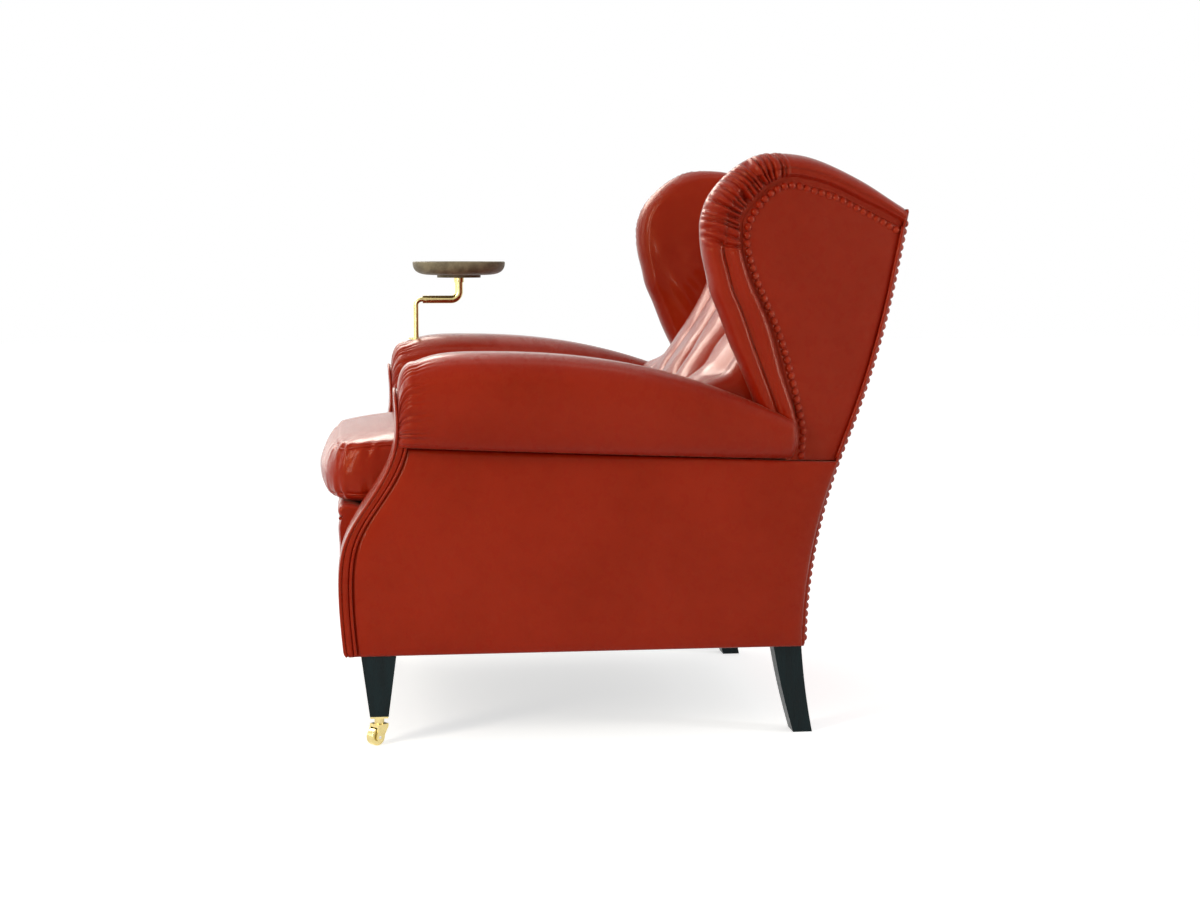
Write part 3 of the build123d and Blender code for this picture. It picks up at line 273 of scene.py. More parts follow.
class Nodes:
    """The nodes of one material, or of the world."""

    def __init__(self, tree):
        self.tree = tree

    def node(self, kind, settings=None, inputs=None, output=0):
        """A node with its settings made and its sockets filled; gives one output, or none."""
        made = self.tree.nodes.new(kind)
        for key, value in (settings or {}).items():
            setattr(made, key, value)
        for key, value in (inputs or {}).items():
            self.fill(made.inputs[key], value)
        return None if output is None else Value(self, made.outputs[output])

    def fill(self, socket, value):
        """Link a value to a socket, or write a plain one into it."""
        if isinstance(value, Value):
            self.tree.links.new(value.socket, socket)
        else:
            socket.default_value = value

    def background_ray(self):
        """1 for the rays that show the background: straight, mirrored or through glass."""
        kinds = ("Camera", "Glossy", "Transmission")
        straight, mirrored_ray, glass = [
            self.node("ShaderNodeLightPath", output=f"Is {kind} Ray") for kind in kinds
        ]
        return straight.maths("MAXIMUM", straight, glass.maths("MAXIMUM", mirrored_ray, glass))


class Finish(Nodes):
    """A surface finish: a material and the nodes that make it."""

    def __init__(self, name, **fixed):
        self.material = bpy.data.materials.new(name)
        self.material.use_nodes = True
        super().__init__(self.material.node_tree)
        self.shader = self.tree.nodes["Principled BSDF"]
        for socket, value in fixed.items():
            self.set(socket.replace("_", " "), value)

    def set(self, socket, value):
        """Fill a socket of the shader itself."""
        self.fill(self.shader.inputs[socket], value)

    def place(self, scale=(1, 1, 1)):
        """Where a point of the piece is, in metres, stretched by a scale."""
        where = self.node("ShaderNodeTexCoord", output="Object")
        return self.node("ShaderNodeMapping", None, {"Vector": where, "Scale": scale})

    def noise(self, scale, detail, rough, where):
        """Cloudy noise, from 0 to 1."""
        inputs = {"Vector": where, "Scale": scale, "Detail": detail, "Roughness": rough}
        return self.node("ShaderNodeTexNoise", None, inputs)

    def blend(self, share, first, second):
        """A colour between two colours, by the colour sockets of a Mix node."""
        factor, first_colour, second_colour, colour_result = 0, 6, 7, 2
        inputs = {factor: share, first_colour: first, second_colour: second}
        return self.node("ShaderNodeMix", {"data_type": "RGBA"}, inputs, colour_result)

    def ramp(self, value, low, high):
        """Climb from 0 to 1 between two values."""
        inputs = {"Value": value, "From Min": low, "From Max": high}
        return self.node("ShaderNodeMapRange", {"interpolation_type": "SMOOTHSTEP"}, inputs)

    def bump(self, height, distance, strength=1.0, under=None):
        """Fine relief of a depth in metres, laid over another relief where one is given."""
        inputs = {"Height": height, "Distance": distance, "Strength": strength}
        if under is not None:
            inputs["Normal"] = under
        return self.node("ShaderNodeBump", None, inputs)


def hide_finish(name, light, dark, edge, roughness=0.25, crease=0.0):
    """Waxed hide: pebbled grain, darker patches, paler rubbed high spots."""
    pebbles_per_metre, pebble_depth = 620.0, 0.00016
    wax_in_grain = [0.45 * channel for channel in dark[:3]] + [1.0]
    f = Finish(
        name, Specular_IOR_Level=0.30, Specular_Tint=(1.0, 0.36, 0.10, 1.0), Coat_Roughness=0.09,
        Coat_IOR=1.32, Sheen_Weight=0.12, Sheen_Roughness=0.35, Sheen_Tint=(1.0, 0.72, 0.50, 1.0),
    )
    where = f.place()
    patches = f.noise(5.0, 3.0, 0.6, where)
    mottle = f.noise(38.0, 4.0, 0.6, where)
    cell_inputs = {"Vector": where, "Scale": pebbles_per_metre}
    cells = f.node("ShaderNodeTexVoronoi", {"feature": "DISTANCE_TO_EDGE"}, cell_inputs)
    grain = f.ramp(cells, 0.0, 0.12)
    fine = f.noise(1500.0, 2.0, 0.5, where)
    tone = f.ramp(patches, 0.34, 0.68)
    colour = f.blend(tone, dark, light)
    colour = f.blend(f.ramp(mottle, 0.52, 0.78) * 0.35, colour, edge)
    colour = f.blend((1 - grain) * 0.45, colour, wax_in_grain)
    f.set("Base Color", colour)
    f.set("Roughness", f.ramp(mottle, 0.2, 0.8) * 0.06 + (1 - grain) * 0.08 + roughness)
    f.set("Coat Weight", f.ramp(patches, 0.25, 0.7) * 0.06 + 0.17)
    relief = f.bump(grain * 0.8 + fine * 0.25, pebble_depth)
    if crease:
        lines = f.noise(26.0, 5.0, 0.62, f.place((1.0, 1.0, 0.45)))
        relief = f.bump(lines, crease, 0.5, relief)
    f.set("Normal", relief)
    return f.material


red = (0.320, 0.0090, 0.0010, 1)
red_deep = (0.278, 0.0065, 0.0004, 1)
red_rubbed = (0.355, 0.0130, 0.0025, 1)
# Paler reds for the nail heads: a painted highlight that makes the heads read brighter than the panels round
# them
red_nail_highlight = (0.40, 0.022, 0.005, 1)
red_nail_highlight_edge = (0.46, 0.04, 0.012, 1)
hide = hide_finish("waxed red hide", red, red_deep, red_rubbed)
hide_soft = hide_finish("red hide, gathered", red, red_deep, red_rubbed, roughness=0.22, crease=0.0006)
hide_nails = hide_finish("red hide over nail heads", red_nail_highlight, red, red_nail_highlight_edge, roughness=0.18)


def timber_finish(name, light, dark, roughness, grain_scale, along, pores=0.00005):
    """Wood with its grain along one direction: 0, 1 or 2 for x, y or z."""
    f = Finish(name, Specular_IOR_Level=0.15)
    stretch = tuple(grain_scale * (0.12 if axis == along else 1.0) for axis in range(3))
    rings = f.noise(1.0, 6.0, 0.62, f.place(stretch))
    flecks = f.noise(1.0, 2.0, 0.5, f.place(tuple(9 * s for s in stretch)))
    f.set("Base Color", f.blend(f.ramp(rings, 0.35, 0.68), dark, light))
    f.set("Roughness", f.ramp(flecks, 0.3, 0.7) * 0.14 + roughness)
    f.set("Normal", f.bump(f.ramp(flecks, 0.35, 0.6) + rings * 0.5, pores))
    return f.material


black_timber = timber_finish(
    "black stained legs", (0.003, 0.012, 0.014, 1), (0.002, 0.007, 0.008, 1),
    roughness=0.26, grain_scale=60, along=2,
)
turned_timber = timber_finish(
    "dark turned dish", (0.25, 0.215, 0.13, 1), (0.15, 0.125, 0.075, 1),
    roughness=0.45, grain_scale=55, along=0,
)
frame_timber = timber_finish(
    "beech frame", (0.52, 0.36, 0.21, 1), (0.38, 0.24, 0.12, 1),
    roughness=0.6, grain_scale=40, along=2, pores=0.0001,
)


def metal_finish(name, colour, dull, roughness):
    """Metal with fine scratches, finger marks and duller patches."""
    scratches_per_metre, scratch_depth = 220.0, 0.00002
    f = Finish(name, Metallic=1.0)
    where = f.place()
    marks = f.noise(45.0, 4.0, 0.6, where)
    scratches = f.noise(scratches_per_metre, 5.0, 0.7, f.place((1.0, 1.0, 0.08)))
    f.set("Base Color", f.blend(f.ramp(marks, 0.4, 0.8) * 0.5, colour, dull))
    f.set("Roughness", f.ramp(marks, 0.3, 0.8) * 0.12 + f.ramp(scratches, 0.4, 0.7) * 0.06 + roughness)
    f.set("Normal", f.bump(scratches, scratch_depth, 0.6))
    return f.material


brass = metal_finish("polished brass", (0.70, 0.58, 0.26, 1), (0.42, 0.34, 0.15, 1), 0.17)
steel = metal_finish("plain steel", (0.56, 0.56, 0.57, 1), (0.33, 0.33, 0.34, 1), 0.3)


def cloth_finish(name, light, dark, thread):
    """Plain weave: threads over and under each other."""
    thread_depth = 0.0003
    f = Finish(name, Roughness=0.92, Sheen_Weight=0.2)
    bands = {"wave_type": "BANDS", "wave_profile": "SIN"}
    inputs = {"Vector": f.place(), "Scale": thread, "Distortion": 0.4}
    warp, weft = [f.node("ShaderNodeTexWave", {**bands, "bands_direction": way}, inputs) for way in "XY"]
    weave = warp * weft
    slub = f.noise(60.0, 4.0, 0.6, f.place((1.0, 0.2, 1.0)))
    f.set("Base Color", f.blend(weave * 0.6 + slub * 0.4, dark, light))
    f.set("Normal", f.bump(weave + slub * 0.4, thread_depth))
    return f.material


platform_cloth = cloth_finish("platform cloth", (0.055, 0.04, 0.035, 1), (0.02, 0.015, 0.013, 1), 160.0)
webbing_cloth = cloth_finish("jute webbing", (0.4, 0.31, 0.19, 1), (0.22, 0.16, 0.09, 1), 110.0)

finish_of = {
    "hide": hide, "frame_timber": frame_timber, "black_timber": black_timber, "turned_timber": turned_timber,
    "cloth": webbing_cloth, "steel": steel, "brass": brass,
}
for entry in frame["record"]["subparts"]:
    node = frame["nodes"][entry["node"]]
    node.data.materials.clear()
    node.data.materials.append(hide_nails if "nails" in entry["node"] else finish_of[entry["material_slot"]])


# Rolled arms
scroll = np.array([0.341, 0.525])
scroll_radius = 0.052
front_points = [
    (-0.4399, hem), (-0.447, 0.261), (-0.4372, 0.3336), (-0.3892, 0.4147), (-0.358, 0.4831), (-0.358, 0.577),
]
front_curve = curve(front_points, 400)


def front_y(z):
    """Front line of the arm's facing at a height."""
    return np.interp(z, front_curve[:, 1], front_curve[:, 0])


roll_front, roll_front_depth = -0.3225, 0.0285
roll_end, roll_end_depth = arm_rear - 0.012, 0.011
front_drop, front_draw = 0.023, 0.008
rear_drop, rear_draw = 0.115, 0.028
inner_round_share, outer_round_share = 0.42, 0.31
under_roll = 0.036
pinch_x = 0.33


def roll_ring(y):
    """Section of the arm's roll and its padded inner wall at a place along the arm."""
    if y < peak_y:
        s = (y - peak_y) / (arm_front - peak_y)
        top, outer = arm_top - front_drop * s**3, half_width - front_draw * s**2
    else:
        s = (y - peak_y) / (arm_rear - peak_y)
        top, outer = arm_top - rear_drop * s**2.3, half_width - rear_draw * s**2
    seam = seam_z(y)
    inner, out = inner_round_share * (top - seam), outer_round_share * (top - seam)
    wall = arm_inner + 0.0005
    low = top - out
    pinch = (pinch_x, seam + 0.006)
    parts = [
        between((wall, arm_foot), (wall, top - inner), 64)[:-1],
        arc((wall + inner, top - inner), (inner, inner), 180, 90, 56)[:-1],
        between((wall + inner, top), (outer - out, top), 20)[:-1],
        arc((outer - out, low), (out, out), 90, 0, 64)[:-1],
        arc((outer - under_roll, low), (under_roll, low - seam - 0.001), 0, -84, 56)[:-1],
        between((outer - under_roll, seam + 0.0015), pinch, 20)[:-1],
        between(pinch, (wall + 0.02, arm_foot), 24),
    ]
    return np.concatenate(parts)


def facing_ring():
    """Line on the facing that the roll's gathers run down to, point for point with the roll."""
    c, r = scroll, scroll_radius - 0.003
    wall_foot, wall_head = (0.266, arm_foot), (0.266, 0.44)
    seam_end, pinch = (base_half, 0.488), (pinch_x, 0.488)
    parts = [
        between(wall_foot, wall_head, 20)[:-1],
        between(wall_head, (c[0] - r, c[1]), 45)[:-1],
        arc(c, (r, r), 180, 105, 56)[:-1],
        arc(c, (r, r), 105, 90, 20)[:-1],
        arc(c, (r, r), 90, 0, 64)[:-1],
        between((c[0] + r, c[1]), seam_end, 56)[:-1],
        between(seam_end, pinch, 20)[:-1],
        between(pinch, (0.28, arm_foot), 24),
    ]
    return np.concatenate(parts)


def arm_roll():
    """Hide over the arm, gathered round the facing and closed where it meets the wing."""
    gather_width, gather_depth, fading_depth = 0.0112, 0.0068, 0.0028
    first_fold, full_folds, last_full, last_fold = 40, 70, 236, 256
    face = facing_ring()
    count = len(face)
    waves = length_along(roll_ring(arm_front)) / gather_width
    waves = waves + 0.30 * np.sin(1.3 * waves) + 0.22 * np.sin(2.9 * waves + 1)
    fold = 1 - np.abs(np.sin(math.pi * waves)) ** 0.8
    fold = fold * (0.75 + 0.25 * np.sin(1.9 * waves + 2))
    # the gathers run from the inner wall over the roll to the seam
    point = np.arange(count)
    where = smoothstep(first_fold, full_folds, point) * (1 - smoothstep(last_full, last_fold, point))

    def drawn_in(ring, depth):
        inward = scroll - ring
        inward /= np.linalg.norm(inward, axis=1)[:, None]
        return ring + inward * depth[:, None]

    rows = []
    full = roll_ring(roll_front)
    for w in np.linspace(1, 0, 13):
        a, b = (1 - math.cos(w * math.pi / 2)) ** 1.15, math.sin(w * math.pi / 2)
        y = roll_front - roll_front_depth * b
        depth = gather_depth * fold * where * (0.45 + 0.55 * w)
        ring = drawn_in(full * (1 - a) + face * a, depth)
        rows.append(np.c_[ring[:, 0], np.full(count, y) + 0.3 * depth, ring[:, 1]])
    gathers_end = roll_front + 0.05
    near_stations = np.linspace(roll_front + 0.004, gathers_end, 12)[:-1]
    for y in np.r_[near_stations, np.linspace(gathers_end, roll_end, 56)]:
        fade = max(0.0, 1 - (y - roll_front) / 0.045) ** 2
        ring = drawn_in(roll_ring(y), fading_depth * fade * fold * where)
        rows.append(np.c_[ring[:, 0], np.full(count, y), ring[:, 1]])
    last = roll_ring(roll_end)
    middle = last.mean(axis=0)
    for w in np.linspace(0.2, 1, 6):
        a, b = 1 - math.cos(w * math.pi / 2), math.sin(w * math.pi / 2)
        ring = last + (middle - last) * 0.2 * a
        rows.append(np.c_[ring[:, 0], np.full(count, roll_end + roll_end_depth * b), ring[:, 1]])
    return lattice(np.array(rows), around=True, caps=(0, -1), flip=True)


both_sides("arm_roll", arm_roll(), hide, "hide", ["arm_pad"], soft=0.85)


def facing_half(z):
    """Inner and outer edge of the facing at a height."""
    if z <= scroll[1]:
        inner = np.interp(z, [hem, 0.432, scroll[1]], [arm_inner, arm_inner, scroll[0] - scroll_radius])
        outer = np.interp(z, [hem, seam_front, scroll[1]], [base_half, base_half, scroll[0] + scroll_radius])
        return inner, outer
    half = math.sqrt(max(scroll_radius**2 - (z - scroll[1]) ** 2, 0))
    return scroll[0] - half, scroll[0] + half


facing_middle = 0.010
facing_half_depth = 0.0095
facing_puff = 0.0022
hem_radius = 0.010
hem_clear = 0.002


def hem_tuck(z):
    """Share of the facing's front that is left at a height, rounded under at the hem."""
    return np.sqrt(1 - (1 - np.clip((z - hem) / hem_radius, 0, 1)) ** 2)


def arm_facing():
    """The padded S-shaped board at the arm's front."""
    heights = list(np.linspace(hem + 0.001, scroll[1], 64)) + [
        scroll[1] + scroll_radius * math.sin(a) for a in np.radians(np.linspace(5, 89, 20))
    ]
    rows = []
    for z in heights:
        inner, outer = facing_half(z)
        middle, half = (inner + outer) / 2, (outer - inner) / 2
        a = np.linspace(0, 2 * math.pi, 64, endpoint=False)
        cx, cy = np.cos(a), np.sin(a)
        x = middle + half * np.sign(cx) * np.abs(cx) ** 0.34
        tuck = np.where(cy < 0, hem_tuck(z), 1.0)
        depth = facing_middle + facing_half_depth * np.sign(cy) * np.abs(cy) ** 0.55 * tuck
        dome = np.clip(1 - ((x - middle) / half) ** 2, 0, 1) * (cy < 0)
        puff = facing_puff * np.clip(half / 0.05, 0, 1) * dome
        rows.append(np.c_[x, front_y(z) + depth - puff, np.full_like(x, z)])
    return lattice(np.array(rows), around=True, caps=(0, -1))


def facing_line(depth, proud, inner_low=hem + hem_clear):
    """Line round the facing's edge, up the outside, over the scroll and down the inside."""
    outside = [(facing_half(z)[1] + proud, z) for z in np.linspace(hem + hem_clear, scroll[1], 90)]
    over = arc(scroll, (scroll_radius + proud,) * 2, 0, 180, 50)[1:-1]
    inside = [(facing_half(z)[0] - proud, z) for z in np.linspace(scroll[1], inner_low, 80)]
    line = np.array(outside + [tuple(place) for place in over] + inside)
    if depth < facing_middle:
        depth = facing_middle - (facing_middle - depth) * hem_tuck(line[:, 1])
    return np.c_[line[:, 0], front_y(line[:, 1]) + depth, line[:, 1]]


front_cord = cord_round(facing_line(0.0022, -0.0006), 0.0026)
rear_cord = cord_round(facing_line(0.0190, -0.0002, inner_low=0.43), 0.0025)
facing = combine(arm_facing(), front_cord, rear_cord)
both_sides("arm_facing_board", facing, hide, "hide", ["arm_facing"])


def side_panel():
    """Hide over thin wadding below the arm's seam."""
    face_x, edge_x, rear_x = 0.3665, 0.3645, 0.337
    behind_facing, before_back, rear_corner = 0.0200, 0.0060, 0.4545
    wadding, belly = 0.0062, 0.0015
    edge_shares = np.array([0.0, 0.004, 0.012, 0.03, 0.06, 0.1, 0.16])

    def crowded_shares(middle_count):
        middle = np.linspace(0.2, 0.8, middle_count)
        return np.r_[0, 0, edge_shares, middle, 1 - edge_shares[::-1], 1, 1, 1]

    rows, columns = crowded_shares(13), crowded_shares(21)
    grid = np.zeros((len(rows), len(columns), 3))
    for i, v in enumerate(rows):
        for j, u in enumerate(columns):
            y0 = front_y(hem + v * (seam_front - hem)) + behind_facing
            y1 = rear_y(hem + v * (rear_corner - hem)) - before_back
            y = y0 + u * (y1 - y0)
            z = hem_line + v * (seam_z(y) - 0.0015 - hem)
            run = min(v, 1 - v) * 0.32
            side = min(u * 0.75, (1 - u) * 0.75)
            lift = min(1.0, run / 0.022) ** 0.45 * min(1.0, side / 0.02) ** 0.45
            x = face_x + wadding * lift + belly * math.sin(math.pi * u) * math.sin(math.pi * v)
            if i in (0, len(rows) - 2) or j in (0, len(columns) - 2):
                x = edge_x
            if i == len(rows) - 1 or (j == len(columns) - 1 and i > 0):
                x = rear_x
            grid[i, j] = x, y, z
    return lattice(grid, flip=True)


both_sides("side_cover", side_panel(), hide, "hide", ["side_panel"])


# Wings: padded border with two rolls and a fan of pleats, padded inner sheet, flat outer panel
outline_points = [
    (0.262, 0.492), (0.240, 0.530), (0.229, 0.554), (0.206, 0.605), (0.188, 0.646), (0.166, 0.703),
    (0.154, 0.730), (0.148, 0.757), (0.141, 0.787), (0.137, 0.820), (0.137, 0.842), (0.142, 0.865),
    (0.151, 0.885), (0.165, 0.903), (0.186, 0.922), (0.210, 0.937), (0.231, 0.946), (0.256, 0.950),
    (0.281, 0.950), (0.310, 0.947), (0.346, 0.936), (0.383, 0.920),
    (0.419, 0.903), (0.457, 0.881), (0.4835, 0.8650),
]
nail_points = [
    (0.295, 0.465), (0.297, 0.503), (0.293, 0.526), (0.283, 0.563), (0.274, 0.589), (0.263, 0.628),
    (0.252, 0.665), (0.230, 0.716), (0.204, 0.778), (0.199, 0.802), (0.199, 0.829), (0.200, 0.843),
    (0.216, 0.866), (0.235, 0.888), (0.260, 0.903), (0.281, 0.906), (0.305, 0.903), (0.332, 0.897),
    (0.365, 0.886), (0.401, 0.869), (0.439, 0.851), (0.4765, 0.8330),
]
# places on the outline and on the line of nails that lie across from each other
key_places = [
    ((0.262, 0.492), (0.295, 0.465)), ((0.166, 0.703), (0.230, 0.716)), ((0.137, 0.831), (0.199, 0.815)),
    ((0.165, 0.903), (0.212, 0.862)), ((0.210, 0.937), (0.240, 0.891)), ((0.265, 0.950), (0.268, 0.906)),
    ((0.4835, 0.8650), (0.4765, 0.8330)),
]
key_shares = [0, 0.30, 0.46, 0.56, 0.64, 0.72, 1.0]
nail_spacing = 0.0132


def wing_point(place, height):
    """Point at a height above the wing's outer plane, from its place along and up the wing."""
    y, z = place[..., 0], place[..., 1]
    flat = np.stack([wing_x(y), y, z], axis=-1)
    return flat + np.asarray(height)[..., None] * wing_normal


def push_out(grid, amount):
    """Move a grid's points along its normals."""
    ahead = np.gradient(grid, axis=0)
    across = np.gradient(grid, axis=1)
    normal = np.cross(ahead, across)
    normal /= np.maximum(np.linalg.norm(normal, axis=-1), 1e-9)[..., None]
    return grid + normal * amount[..., None]


border_count = 360
flat_rows, nose_rows, back_rows = 26, 26, 26


def border_lines(u):
    """The wing's outline, its line of nails and its inner sheet's end, point for point with each other."""

    def follow(points, keys):
        fine = curve(points, 1500)
        marks = [np.argmin(np.linalg.norm(fine - np.asarray(key), axis=1)) for key in keys]
        where = np.interp(u, key_shares, marks)
        low = np.clip(where.astype(int), 0, len(fine) - 2)
        part = (where - low)[:, None]
        return fine[low] * (1 - part) + fine[low + 1] * part

    outer = follow(outline_points, [pair[0] for pair in key_places])
    inner = follow(nail_points, [pair[1] for pair in key_places])
    for _ in range(6):
        outer[1:-1] = (outer[:-2] + 2 * outer[1:-1] + outer[2:]) / 4
        inner[1:-1] = (inner[:-2] + 2 * inner[1:-1] + inner[2:]) / 4
    spine_shares = [0, 0.3, 1]
    spine_y = np.interp(u, spine_shares, [0.320, 0.335, 0.452])
    spine_z = np.interp(u, spine_shares, [0.500, 0.600, 0.835])
    return outer, inner, np.stack([spine_y, spine_z], axis=1)


def border_sheet(outer, inner, spine, width):
    """The border's smooth form: flat from the nails, round its nose, then back along the inner sheet."""
    depth_middle, depth_radius = 0.029, 0.032
    nail_bed, face_rise, rise_start, rise_end = 0.0078, 0.0083, 0.0052, 0.0125
    toward = (outer - inner) / width[:, None]
    nose = np.clip(0.52 * width, 0.018, 0.032)
    flat_shares = np.linspace(0, 1, flat_rows)[:-1] ** 1.25
    back_shares = np.linspace(0, 1, back_rows)[1:]
    angle = np.radians(np.linspace(90, -90, nose_rows))
    columns = []
    for k in range(len(outer)):
        end = outer[k] - toward[k] * nose[k]
        beside = flat_shares * (width[k] - nose[k])
        level = -nail_bed + face_rise * smoothstep(rise_start, rise_end, beside)
        face = wing_point(inner[k] + (end - inner[k]) * flat_shares[:, None], level)
        reach = end + toward[k] * (nose[k] * np.cos(angle))[:, None]
        rounded = wing_point(reach, -depth_middle + depth_radius * np.sin(angle))
        place = end + (spine[k] - end) * back_shares[:, None]
        sheet = wing_point(place, 0.002 * back_shares - depth_middle - depth_radius)
        columns.append(np.concatenate([face, rounded, sheet]))
    return np.array(columns)


def raise_rolls(lift, u, out, width):
    """Two rolls with a groove between them, up the wing's front."""
    groove_depth, groove_half = 0.0110, 0.0070
    near_roll, near_half, near_share = 0.0068, 0.0105, 0.56
    far_roll, far_half, far_off = 0.0030, 0.016, 0.024
    groove = np.interp(u, key_shares[:4], [0.64, 0.57, 0.60, 0.86])[:, None]
    fade = (1 - smoothstep(0.405, 0.475, u))[:, None]
    away = (out - groove - 0.05) * width[:, None]
    lift -= fade * groove_depth * np.exp(-np.abs(away / groove_half) ** 1.25)
    lift += fade * near_roll * np.exp(-((out - groove * near_share) * width[:, None] / near_half) ** 2)
    lift += fade * far_roll * np.exp(-((away - far_off) / far_half) ** 2)


def fold_pleats(lift, u, out, run, crest):
    """Fan of pleats round the top front corner, nipped in at the nails; gives its strength along u."""
    nip_depth, nip_reach, pleat_depth, ridge_share = 0.0115, 0.045, 0.0045, 0.28
    low, high, folds = 0.425, 0.735, 19
    phase = (u - low) / (high - low) * folds
    drift = 0.22 * np.sin(phase * 1.7) + 0.15 * np.sin(phase * 3.1 + 1.0)
    strength = smoothstep(-0.4, 1.2, phase) * (1 - smoothstep(folds - 1.3, folds + 0.2, phase))
    uneven = 0.75 + 0.25 * np.sin(phase * 2.3 + 0.6)
    bend = 0.22 * np.sin(out * 3.0 + phase[:, None] * 0.9)
    wave = np.abs(np.sin(math.pi * ((phase + drift)[:, None] + bend)))
    valley = (1 - wave) ** 1.9
    fading = 1 - smoothstep(0.74, 1.04, run / crest)
    along = (np.exp(-run / nip_reach) * nip_depth + pleat_depth) * fading
    lift -= (strength * uneven)[:, None] * valley * along * smoothstep(-0.2, 0.4, run / 0.006)
    ridge = smoothstep(0.55, 1.0, wave) * smoothstep(0.002, 0.012, run)
    lift += (strength * uneven)[:, None] * ridge * along * ridge_share
    return strength


def draw_tucks(lift, inner, run, where):
    """Short tucks at every second nail, where the fan leaves room for them."""
    tuck_depth, tuck_reach, tuck_half_share = 0.0016, 0.014, 0.10
    turn = (length_along(inner) / (2 * nail_spacing)) % 1.0
    tuck = np.exp(-((turn - 0.5) / tuck_half_share) ** 2)
    lift -= (where * tuck)[:, None] * tuck_depth * np.exp(-run / tuck_reach)


def fill_inner_sheet(lift, u, run, nose_end):
    """Inner sheet filled out towards the chair's middle, with soft drag lines from the corner."""
    filling, drag_depth = 0.006, 0.0004
    beyond = np.clip((run - nose_end) / np.maximum(run[:, -1:] - nose_end, 1e-6), 0, 1)
    lift += filling * np.sin(math.pi * beyond) * (run > nose_end)
    drag = np.sin(u * 60 + 2.0 * np.sin(u * 14))[:, None]
    lift += drag_depth * drag * beyond * (1 - beyond) * 4 * (run > nose_end)


def round_ends(lift, u, run):
    """The border's two ends, rounded in."""
    end_reach = 0.016
    for edge, size in ((u * 1.05, 0.010), ((1 - u) * 2.6, 0.0025)):
        near = np.clip(1 - edge / end_reach, 0, 1)[:, None]
        lift -= size * (1 - np.sqrt(1 - near**2)) * smoothstep(0, 0.012, run)


def wing_border():
    """Padded border from the nails round the wing's nose to the inner sheet, with its rolls and pleats."""
    uneven_depth = 0.0007
    u = np.linspace(0, 1, border_count)
    outer, inner, spine = border_lines(u)
    width = np.linalg.norm(outer - inner, axis=1)
    grid = border_sheet(outer, inner, spine, width)
    # length from the nails over the surface, so that folds keep their width
    step = np.linalg.norm(np.diff(grid, axis=1), axis=2)
    run = np.concatenate([np.zeros((border_count, 1)), np.cumsum(step, axis=1)], axis=1)
    nose_end = run[:, flat_rows + nose_rows - 2][:, None]
    crest = run[:, flat_rows + nose_rows // 2][:, None]
    out = run / np.maximum(width, 1e-6)[:, None]
    lift = np.zeros_like(run)
    raise_rolls(lift, u, out, width)
    strength = fold_pleats(lift, u, out, run, crest)
    draw_tucks(lift, inner, run, 1 - strength)
    # slow unevenness of the wadding
    slow = np.sin(u * 31)[:, None] * np.sin(out * 5 + 1) + np.sin(u * 17 + 2)[:, None] * np.cos(out * 4)
    lift += uneven_depth * slow
    fill_inner_sheet(lift, u, run, nose_end)
    lift *= smoothstep(0.005, 0.011, run)
    round_ends(lift, u, run)
    grid = push_out(grid, lift)
    closing = [grid[k].mean(axis=0) + (grid[k] - grid[k].mean(axis=0)) * 0.7 for k in (0, -1)]
    return lattice(np.concatenate([closing[0][None], grid, closing[1][None]]))


both_sides("wing_border", wing_border(), hide_soft, "hide", ["wing_pad"], soft=0.8)


def wing_panel():
    """Flat hide between the nails and the rear edge, piped down the rear."""
    count = 120
    panel_depth, turned_depth, welt_radius = 0.0066, 0.0110, 0.0030
    padding, nail_dip, nail_dip_from_edge, nail_dip_half = 0.0042, 0.0016, 0.0088, 0.0024
    front = np.array([(0.276, 0.4578), (0.279, 0.480), (0.284, 0.500)] + nail_points[2:])
    line = curve(front, count)
    rear = np.array([(rear_y(z) - 0.0045, z) for z in np.linspace(0.4545, 0.8375, 400)])
    run = length_along(rear)
    back = np.stack([np.interp(np.linspace(0, run[-1], count), run, rear[:, k]) for k in (0, 1)], axis=1)
    reach = np.linalg.norm(back - line, axis=1)
    t = np.r_[-0.002, np.linspace(0, 1, 30) ** 2 * 0.3, np.linspace(0.3, 1, 30)[1:], 1.002]
    inside = np.clip(t, 0, 1)
    grid = []
    for k, v in enumerate(np.linspace(0, 1, count)):
        place = line[k] + (back[k] - line[k]) * t[:, None]
        edge = np.minimum(inside, 1 - inside) * reach[k]
        ends = min(v, 1 - v) * 0.4
        puff = padding * (1 - np.exp(-edge / 0.035)) * (1 - math.exp(-ends / 0.03))
        dip = nail_dip * np.exp(-((t * reach[k] - nail_dip_from_edge) / nail_dip_half) ** 2)
        height = puff - panel_depth - dip
        height[0] = height[-1] = -turned_depth
        grid.append(wing_point(place, height))
    welt = wing_point(back[1:-1] - np.array([0.0006, 0.0]), np.full(count - 2, -welt_radius))
    return combine(lattice(np.array(grid)), cord_round(welt, welt_radius))


both_sides("wing_outer_panel", wing_panel(), hide, "hide", ["wing_panel"])


# Inner back: a deep pad drawn in by buttons, with pleats between them
back_points = [
    (0.121, 0.3875), (0.121, 0.496), (0.128, 0.545), (0.145, 0.587), (0.1865, 0.650), (0.216, 0.702),
    (0.236, 0.754), (0.252, 0.828), (0.288, 0.872), (0.3576, 0.880), (0.478, 0.862),
]
button_step = 0.116
button_rows = ((0.732, 4), (0.806, 5))
pleat_foot = 0.560
back_low_half = 0.2585


